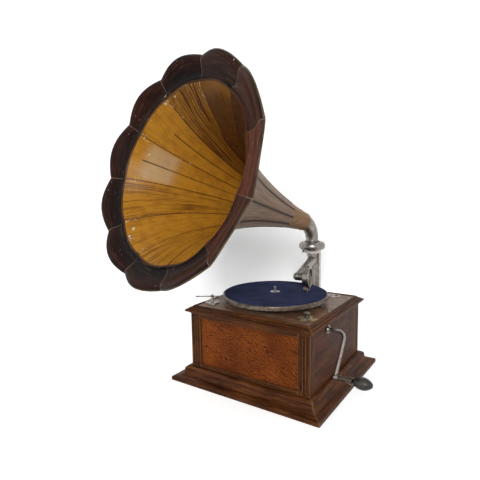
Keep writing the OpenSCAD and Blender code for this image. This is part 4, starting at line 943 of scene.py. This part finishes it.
@dataclass
class Horn:
    """Elbow, neck, eleven petals, their folded seams and the scalloped rim.

    The horn's own frame has +Z along its axis from the elbow's end and +Y on its upper side.
    """

    pivot_back: float = 208.0
    turn: float = -10.1
    rise: float = 16.4
    petals: int = 11
    length: float = 484.0
    mouth_r: float = 245.9
    rim_w: float = 52.4
    rim_d: float = 25.0
    # How far the moulding's form lies ahead of the petals' edges, and its clearance from them
    rim_lead: float = 1.2
    rim_gap: float = 0.1
    scallop: float = 5.0
    # How far the rim's joints lie behind the crowns of its lobes
    lobe_back: float = 14.0
    # Crown of a petal at the rim, as a share of the scallop
    petal_swell: float = 0.65
    # Mean height of a lobe, as a share of its crown
    lobe_mean: float = 0.637
    neck_r: float = 26.5
    neck_len: float = 97.0
    # Where the neck's step ends and its plain cone begins
    neck_step: float = 34.0
    sheet_t: float = 1.5
    seam_first: float = 84.0
    seam_gap: float = 0.05
    seam_w: float = 4.5
    seam_t: float = 1.1
    # This much of the bell's growth follows the first power of the distance, and the rest the second
    slow: float = 110.5
    powers: tuple[float, float] = (1.52, 5.7)
    bend_r: float = 58.0
    bend_z: float = 318.0
    elbow_r: float = 17.0
    elbow_end_r: float = 22.0
    elbow_t: float = 1.6
    # Length of the elbow inside the collar, and of its straight end inside the neck
    spigot: float = 23.5
    straight: float = 12.0
    collar_top: float = 313.0
    # Foot under the flange, its seat and its thickness
    foot: float = 1.5
    seat: float = 0.3
    flange_t: float = 2.0
    rows: int = 46
    columns: int = 14
    # Rows lie closer towards the rim, and columns towards the seams
    row_power: float = 1.5
    column_power: float = 1.25
    # Points that are near no seam or crease carry this distance
    far: float = 20.0
    # Petals lie this far apart on the unrolled sheet, so that no two look alike
    sheet_step: float = 1000.0
    # The grain's fan: half the width of a petal, and the step from petal to petal
    fan_half: float = 45.0
    fan_step: float = 97.0
    # Height of the moulding over a straight slope, at shares of its width
    rim_form: tuple[tuple[float, float], ...] = (
        (0.05, 2.4), (0.1, 2.2), (0.15, -0.8), (0.28, -2.6), (0.42, -2.4), (0.57, 0.4), (0.7, 3.0),
        (0.82, 4.0), (0.93, 2.3), (1.0, -1.6))
    # By petal, from the one left of the top round to the left: strength of grain, painted shade, wear
    grain: tuple[float, ...] = (1.0, 0.3, 0.15, 0.65, 0.3, 0.6, 0.65, 0.7, 0.7, 0.6, 0.3)
    shade: tuple[float, ...] = (0.42, 0.0, 0.0, 0.05, 0.0, 0.05, 0.1, 0.34, 0.78, 0.95, 0.84)
    wear: tuple[float, ...] = (1.0,) * 5 + (0.6,) * 6
    darkest: float = 0.95
    # From this share of its length down to the neck, a petal's painted shade deepens at this rate
    throat_from: float = 0.35
    throat_rate: float = 0.5
    # The petal that carries a painted reflection of a window, how strong, and where along it that begins and
    # ends
    reflecting_petal: int = 2
    milk: float = 0.4
    reflection_part: tuple[float, float] = (0.6, 0.88)
    # Petals whose painted shade lessens towards the rim, by what share, and where that begins
    pale_ends: tuple[tuple[int, float], ...] = ((10, 0.4),)
    pale_from: float = 0.82
    # Petals with a crease down the middle, and the share of the petal where it ends
    creases: tuple[tuple[int, float], ...] = ((1, 0.74), (2, 0.86))
    # How far each length of the rim is painted lighter and redder as if lit, in the same order: painted light
    rubbed_and_lit: tuple[float, ...] = (0.0, 0.1, 0.05, 0.0, 0.0, 0.0, 0.1, 0.45, 0.9, 0.35, 0.1)
    # Where paint has come off to the primer: petal, place across, share along, radius
    petal_chips: tuple[tuple[float, ...], ...] = (
        (4, 0.1, 0.97, 0.2), (1, 0.75, 0.95, 0.12), (2, 0.3, 0.83, 0.09), (2, -0.15, 0.76, 0.08),
        (0, -0.6, 0.96, 0.14), (4, 0.5, 0.9, 0.12))
    rim_chips: tuple[tuple[float, ...], ...] = (
        (1, 0.8, 0.22, 0.16), (1, 0.93, 0.36, 0.1), (0, -0.85, 0.14, 0.12))
    # How loose the paint is in the middle of a chip, at a petal's end by the rim, beside its seams, and
    # on the rim, where that comes and goes
    chip_peak: float = 2.6
    end_loose: float = 1.1
    seam_loose: float = 0.45
    rim_loose: float = 0.35
    # Length of a petal, and width of the rim, against half a petal's width
    petal_tall: float = 4.0
    rim_tall: float = 0.9

    @property
    def s1(self) -> float:
        """Distance along the axis at which the petals end."""
        return self.length - self.rim_d

    @property
    def throat_r(self) -> float:
        """Radius at which the petals end."""
        return self.mouth_r - self.rim_w

    @property
    def bend(self) -> float:
        """Angle of the elbow in radians."""
        return math.radians(90 - self.rise)

    def base(self) -> Matrix:
        """Frame of the swivel, in millimetres from the row frame in metres."""
        return (Matrix.Scale(MM, 4) @ Matrix.Translation((0, self.pivot_back, 0))
                @ Matrix.Rotation(math.radians(self.turn), 4, "Z"))

    def axis(self) -> Matrix:
        """Frame of the horn's own axis."""
        end = (0, -self.bend_r * (1 - math.cos(self.bend)), self.bend_z + self.bend_r * math.sin(self.bend))
        return self.base() @ Matrix.Translation(end) @ Matrix.Rotation(self.bend, 4, "X")

    def radius(self, s: float) -> float:
        """Gives the mean outer radius of the bell.

        Args:
            s: distance along the axis.

        Returns:
            The radius there.
        """
        x = s / self.s1
        slow, fast = self.powers
        rest = self.throat_r - self.neck_r - self.slow
        return self.neck_r + self.slow * x ** slow + rest * x ** fast

    def lean(self, s: float) -> float:
        """Angle of the wall from the axis at s, in radians."""
        return math.atan(self.radius(s + 0.5) - self.radius(s - 0.5))

    def corner(self, r: float, s: float, swell: float, k: int, u: float) -> Point:
        """Gives a point of petal k.

        Args:
            r: mean radius.
            s: distance along the axis.
            swell: height of the petal's crown over its seams.
            k: number of the petal.
            u: place across it, from -1 to 1.

        Returns:
            The point in the horn's frame.
        """
        arc = 360 / self.petals
        lobe = math.cos(math.pi / 2 * u)
        out = r + swell * (lobe - self.lobe_mean)
        half = arc / 2 - math.degrees(self.seam_gap / out)
        a = math.radians(self.seam_first + arc * (k + 0.5) - half * u)
        plain = self.petal_swell * self.scallop
        back = self.lobe_back * max(0.0, swell - plain) / (self.scallop - plain) * (1 - lobe)
        return out * math.cos(a), out * math.sin(a), s - back

    def petal_rows(self) -> list[Row]:
        """Lays out the rows of the petals.

        Returns:
            Outer r and s, inner r and s, and swell of each row from the neck to the rim.
        """
        found = []
        # The petals begin just clear of the neck's edge
        first = self.neck_len + 0.2
        for i in range(self.rows + 1):
            f = i / self.rows
            s = first + (self.s1 - first) * (1 - (1 - f) ** self.row_power)
            r, a = self.radius(s), self.lean(s)
            found.append((r, s, r - self.sheet_t * math.cos(a), s + self.sheet_t * math.sin(a),
                          self.petal_swell * self.scallop * (s / self.s1) ** 2))
        return found

    def rim_rows(self, steps: int = 6) -> list[Row]:
        """Lays out the rows of the moulding, rounded through the form's points.

        Args:
            steps: rows between two points of the form.

        Returns:
            The same values of each row from the petals to the outer edge.
        """
        *_, inner_r, inner_s, swell = self.petal_rows()[-1]
        a = self.lean(self.s1)
        line = [(inner_r + self.rim_gap * math.sin(a), inner_s + self.rim_gap * math.cos(a))]
        line += [(self.throat_r + self.rim_w * t, self.s1 + self.rim_lead + self.rim_d * t + up)
                 for t, up in self.rim_form]
        front = []
        for i in range(len(line) - 1):
            # A Catmull-Rom curve through the form's points
            p = [Vector(line[max(0, min(len(line) - 1, i + d))]) for d in (-1, 0, 1, 2)]
            for step in range(steps):
                f = step / steps
                front.append(0.5 * (2 * p[1] + f * (p[2] - p[0])
                                    + f * f * (2 * p[0] - 5 * p[1] + 4 * p[2] - p[3])
                                    + f ** 3 * (3 * p[1] - p[0] - 3 * p[2] + p[3])))
        front.append(Vector(line[-1]))
        found = []
        for i, at in enumerate(front):
            d = (front[min(i + 1, len(front) - 1)] - front[max(i - 1, 0)]).normalized()
            t = climb(at.x, self.throat_r, 1 / self.rim_w)
            found.append((at.x + self.sheet_t * d.y, at.y - self.sheet_t * d.x, at.x, at.y,
                          swell + (self.scallop - swell) * t))
        return found

    def sheets(self, rows: Sequence[Row], values: Callable[[int, float, float], dict[str, float]]) -> Sheet:
        """Builds eleven separate sheets with their thickness.

        Args:
            rows: outer r and s, inner r and s, and swell, from row to row.
            values: gives a point's values from its petal, place across and share along.

        Returns:
            The mesh; slot 0 is the side that faces the mouth, and slot 1 the back.
        """
        made = Sheet.empty("seam_mm", "crease_mm", "fan", "reach", "grain", "shade", "milk", "chips")
        for k in range(self.petals):
            sides = []
            for side in (0, 2):
                grid = []
                run = 0.0
                for i, row in enumerate(rows):
                    r, s = row[side:side + 2]
                    if i:
                        run += math.dist((r, s), rows[i - 1][side:side + 2])
                    half = math.pi * r / self.petals
                    line = []
                    for j in range(self.columns + 1):
                        u = 2 * j / self.columns - 1
                        u = math.copysign(1 - (1 - abs(u)) ** self.column_power, u)
                        line.append(made.point(
                            self.corner(r, s, row[4], k, u), (half * u + self.sheet_step * k, run),
                            seam_mm=half * (1 - abs(u)), fan=(self.fan_half * u + self.fan_step * k) * MM,
                            **values(k, u, i / (len(rows) - 1))))
                    grid.append(line)
                sides.append(grid)
            outer, inner = sides
            made.grid(inner, 0, flip=True)
            made.grid(outer, 1)
            for end in (0, -1):
                made.grid([outer[end], inner[end]], 1, flip=end == 0)
            for edge in (0, -1):
                made.grid([[row[edge] for row in side] for side in sides], 1, flip=edge == -1)
        return made

    def flaked(self, places: Sequence[Sequence[float]], tall: float, k: int, u: float, f: float) -> float:
        """Gives how loose the paint is near the places where it has come off.

        Args:
            places: petal, place across, share along and radius of each.
            tall: length of the sheet against half its width.
            k: number of the petal.
            u: place across it.
            f: share of the way from the neck to the rim, or across the rim.

        Returns:
            0 for sound paint, and most in the middle of a chip.
        """
        return max([0.0] + [self.chip_peak * (1 - math.hypot(u - across, (f - along) * tall) / radius)
                            for petal, across, along, radius in places if petal == k])

    def petal_values(self, k: int, u: float, f: float) -> dict[str, float]:
        """Gives grain, painted shade, painted reflection, crease and chips of a place on a petal.

        Args:
            k: number of the petal.
            u: place across it.
            f: share of the way from the neck to the rim.

        Returns:
            The values by name.
        """
        # The painted reflection is soft across the petal, where it begins and where it ends
        begin, stop = self.reflection_part
        milk = self.milk * climb(abs(u), 0.97, -8) * climb(f, begin, 20) * climb(f, stop, -12)
        # Paint is looser towards the rim and beside the seams
        loose = self.end_loose * max(0.0, f - 0.6) + (self.seam_loose if abs(u) > 0.9 and f > 0.4 else 0.0)
        loose += self.flaked(self.petal_chips, self.petal_tall, k, u, f)
        end = dict(self.creases).get(k)
        # A crease fades out beyond its end
        crease = self.far if end is None else 30.0 * abs(u) + 120.0 * max(0.0, f - end)
        # Painted shade: darkest on the upper right petals and towards the neck
        shade = self.shade[k] * (1 - dict(self.pale_ends).get(k, 0.0) * climb(f, self.pale_from, 8))
        shade = min(self.darkest, shade + self.throat_rate * max(0.0, self.throat_from - f))
        return {"grain": self.grain[k], "shade": shade, "crease_mm": crease,
                "milk": milk if k == self.reflecting_petal else 0.0, "chips": loose * self.wear[k]}

    def rim_values(self, k: int, u: float, f: float) -> dict[str, float]:
        """Gives chips, painted light and the share across of a place on the rim.

        Args:
            k: number of its length, which is that of the petal.
            u: place along the length, from -1 to 1.
            f: share of the way from the petals to the outer edge.

        Returns:
            The values by name.
        """
        loose = self.rim_loose + self.rim_loose * math.cos(1.7 * k + 3 * u)
        loose += self.flaked(self.rim_chips, self.rim_tall, k, u, f)
        return {"chips": loose, "reach": f, "shade": self.rubbed_and_lit[k]}

    def build_petals(self) -> None:
        """Builds the petals and their folded seams."""
        rows = self.petal_rows()
        self.sheets(rows, self.petal_values).piece(
            "horn_petal_sheets", "horn", "horn_ochre", [OCHRE, HORN_BACK], self.axis(), "horn_petals")
        folds = Sheet.empty("seam_mm")
        for k in range(self.petals):
            grid = []
            # The folds stop a few rows short of the rim
            for r, s, *_, swell in rows[:-3]:
                width = self.seam_w / 2 / (math.pi * r / self.petals)
                line = []
                # Petal, place across it, and height as a share of the fold's thickness
                for petal, u, lift in ((k, 1 - width, 0.1), (k, 1 - width, 0.6), (k, 1.0, 1.1),
                                       (k - 1, width - 1, 0.6), (k - 1, width - 1, 0.1)):
                    x, y, z = self.corner(r, s, swell, petal % self.petals, u)
                    grow = 1 + (self.seam_t * lift + 0.1) / math.hypot(x, y)
                    line.append(folds.point((x * grow, y * grow, z - 0.5 * lift), (u * 3 + 100 * k, s),
                                            seam_mm=self.far))
                grid.append(line)
            folds.grid(grid, loop=True)
            folds.faces += [tuple(grid[0]), tuple(reversed(grid[-1]))]
            folds.slots += [0, 0]
        folds.piece("horn_seam_folds", "horn", "horn_seam", [SEAM], self.axis(), "horn_seams", sharp=60.0)

    def build_rim(self) -> None:
        """Builds the scalloped moulding round the mouth."""
        self.sheets(self.rim_rows(), self.rim_values).piece(
            "horn_rim_moulding", "horn", "horn_rim", [RIM, RIM], self.axis(), "horn_rim")

    def build_neck(self, steps: int = 12, sides: int = 96) -> None:
        """Turns the neck: a socket over the elbow, a step and a plain cone.

        Args:
            steps: rows along the cone.
            sides: points round it.
        """
        socket = self.elbow_end_r + 0.1
        stops = [self.neck_step + (self.neck_len - self.neck_step) * i / steps for i in range(steps + 1)]
        # The socket's rounded lip, its wall, and the step down to the cone
        outer = [(socket, 0.0), (socket + 2.2, 0.0), (socket + 2.7, 0.5), (socket + 3.6, 2.0),
                 (self.neck_r - 0.1, 12.0), (self.neck_r, 14.0), (self.neck_r + 0.3, 20.0)]
        outer += [(self.radius(s), s) for s in stops]
        inner = [(self.radius(s) - self.sheet_t, s) for s in reversed(stops)]
        inner += [(self.neck_r - self.sheet_t, 16.0), (socket, 13.0)]
        neck = Sheet.empty("seam_mm")
        grid = [[neck.point((r * math.cos(a), r * math.sin(a), s), (r * a, s), seam_mm=self.far)
                 for a in turns(sides)] for r, s in outer + inner]
        neck.grid(grid + grid[:1], loop=True)
        neck.piece("horn_neck_cone", "horn", "horn_neck", [NECK], self.axis(), "horn_neck", sharp=35.0)

    def build_elbow(self, steps: int = 30, sides: int = 72) -> None:
        """Builds the flange over the collar, the widening bend and its straight end in the neck.

        Args:
            steps: rows round the bend.
            sides: points round the tube.
        """
        low = self.collar_top - self.spigot - self.bend_z
        top = self.collar_top + self.foot + self.seat + self.flange_t - self.bend_z
        r0, r1, wall = self.elbow_r, self.elbow_end_r, self.elbow_t
        bend = [(self.bend * i / steps, r0 + (r1 - r0) * i / steps) for i in range(steps + 1)]
        # Angle along the bend, radius of the tube, and distance straight on from there
        skin = [(0.0, r0, low), (0.0, r0, top - 2.05)]
        # The flange, rounded, from its foot upwards
        skin += [(0.0, r0 + out, top + up) for out, up in (
            (2.4, -2.0), (3.0, -1.5), (3.0, -0.6), (2.4, 0.0), (0.2, 0.1))]
        skin += [(b, r, 0.0) for b, r in bend]
        skin += [(self.bend, r1, self.straight), (self.bend, r1 - wall, self.straight)]
        skin += [(b, r - wall, 0.0) for b, r in reversed(bend)]
        skin += [(0.0, r0 - wall, low)]
        elbow = Sheet.empty()
        grid = []
        for b, r, on in skin:
            line = []
            for a in turns(sides):
                f = self.bend_r - r * math.cos(a)
                place = (r * math.sin(a), -(self.bend_r - f * math.cos(b)) - on * math.sin(b),
                         self.bend_z + f * math.sin(b) + on * math.cos(b))
                line.append(elbow.point(place, (r * a, b * self.bend_r + on)))
            grid.append(line)
        elbow.grid(grid + grid[:1], loop=True)
        elbow.piece("horn_elbow_bend", "horn", "nickel", [NICKEL], self.base(), "horn_elbow", sharp=35.0)

    def build(self) -> None:
        """Builds the whole horn from its elbow to its rim."""
        self.build_elbow()
        self.build_neck()
        self.build_petals()
        self.build_rim()


@dataclass
class Studio:
    """White sweep, soft lights at a plain level, and the camera of the photograph."""

    eye: Point = (0.5001, -0.8975, 0.4638)
    yaw: float = 34.31
    pitch: float = 6.83
    roll: float = -0.9
    focal_px: float = 412.9
    frame_px: float = 480.0
    sensor: float = 36.0
    clip_end: float = 60.0
    ambient: float = 0.36
    backdrop_y: float = 0.5
    backdrop_bend: float = 0.24
    # Each light's azimuth from the front towards the crank side, height, strength and apparent width
    key: Sequence[float] = (25.0, 22.0, 2.0, 20.0)
    fill: Sequence[float] = (-38.0, 34.0, 0.4, 50.0)

    def camera(self) -> None:
        """Puts the camera where the photograph was taken."""
        yaw, pitch, roll = (math.radians(a) for a in (self.yaw, self.pitch, self.roll))
        ahead = Vector((-math.sin(yaw) * math.cos(pitch), math.cos(yaw) * math.cos(pitch), -math.sin(pitch)))
        right = Vector((math.cos(yaw), math.sin(yaw), 0.0))
        up = right.cross(ahead)
        across = right * math.cos(roll) + up * math.sin(roll)
        over = up * math.cos(roll) - right * math.sin(roll)
        data = bpy.data.cameras.new("camera")
        data.sensor_width = self.sensor
        data.lens = self.sensor * self.focal_px / self.frame_px
        data.clip_end = self.clip_end
        made = bpy.data.objects.new("camera", data)
        made.matrix_world = Matrix.Translation(self.eye) @ Matrix((across, over, -ahead)).transposed().to_4x4()
        bpy.context.scene.collection.objects.link(made)
        bpy.context.scene.camera = made

    def light(self, name: str, azimuth: float, height: float, strength: float, spread: float) -> None:
        """Adds a soft distant light.

        Args:
            name: name of the light.
            azimuth: where it stands, in degrees from the front towards the crank side.
            height: its height over the horizon in degrees.
            strength: light on a surface that faces it.
            spread: its apparent width in degrees.
        """
        data = bpy.data.lights.new(name, "SUN")
        data.energy = strength
        data.angle = math.radians(spread)
        made = bpy.data.objects.new(name, data)
        made.rotation_euler = (math.radians(90 - height), 0.0, math.radians(azimuth))
        bpy.context.scene.collection.objects.link(made)

    def sky(self) -> None:
        """Makes the world: white where it is seen, a plain soft light elsewhere."""
        world = bpy.data.worlds.new("studio")
        bpy.context.scene.world = world
        world.use_nodes = True
        tree = world.node_tree
        tree.nodes.clear()
        strength = add(tree, "MapRange", {"To Min": self.ambient, "To Max": 1.0}, seen_rays(tree))
        sky = add(tree, "Background", {"Color": "#ffffff"}, {"Strength": strength})
        add(tree, "OutputWorld", links=sky)

    def paper(self, reach: float = 14.0, steps: int = 24) -> None:
        """Rolls the paper out under the case and up close behind the horn, where it takes its shadow.

        Args:
            reach: how far the paper goes on each side.
            steps: faces in its bend.
        """
        # Places of the paper's rows: y, z, and how upright it stands there
        line = [(-reach, 0.0, 0.0)]
        for i in range(steps + 1):
            a = math.pi / 2 * i / steps
            line.append((self.backdrop_y - self.backdrop_bend * (1 - math.sin(a)),
                         self.backdrop_bend * (1 - math.cos(a)), i / steps))
        line.append((self.backdrop_y, reach, 1.0))
        mesh = bpy.data.meshes.new("studio_paper")
        mesh.from_pydata([(x, y, z) for y, z, _ in line for x in (-reach, reach)], [],
                         [(2 * i, 2 * i + 1, 2 * i + 3, 2 * i + 2) for i in range(len(line) - 1)])
        mesh.attributes.new("upright", "FLOAT", "POINT").data.foreach_set(
            "value", [up for _, _, up in line for _ in (0, 1)])
        mesh.polygons.foreach_set("use_smooth", [True] * len(mesh.polygons))
        mesh.materials.append(PAPER.material())
        made = bpy.data.objects.new("studio_paper", mesh)
        bpy.context.scene.collection.objects.link(made)

    def build(self) -> None:
        """Sets the studio up."""
        self.camera()
        self.sky()
        self.paper()
        self.light("key", *self.key)
        self.light("fill", *self.fill)


def main() -> None:
    """Builds and dresses each sub-assembly in order."""
    logging.basicConfig(level=logging.INFO, format="%(name)s: %(message)s")
    bpy.context.scene.view_settings.view_transform = "Standard"
    Studio().build()
    Case().dress()
    Motor().dress()
    Turntable().build()
    Controls().dress()
    Crank().dress()
    Arm().dress()
    Horn().build()


if __name__ == "__main__":
    main()
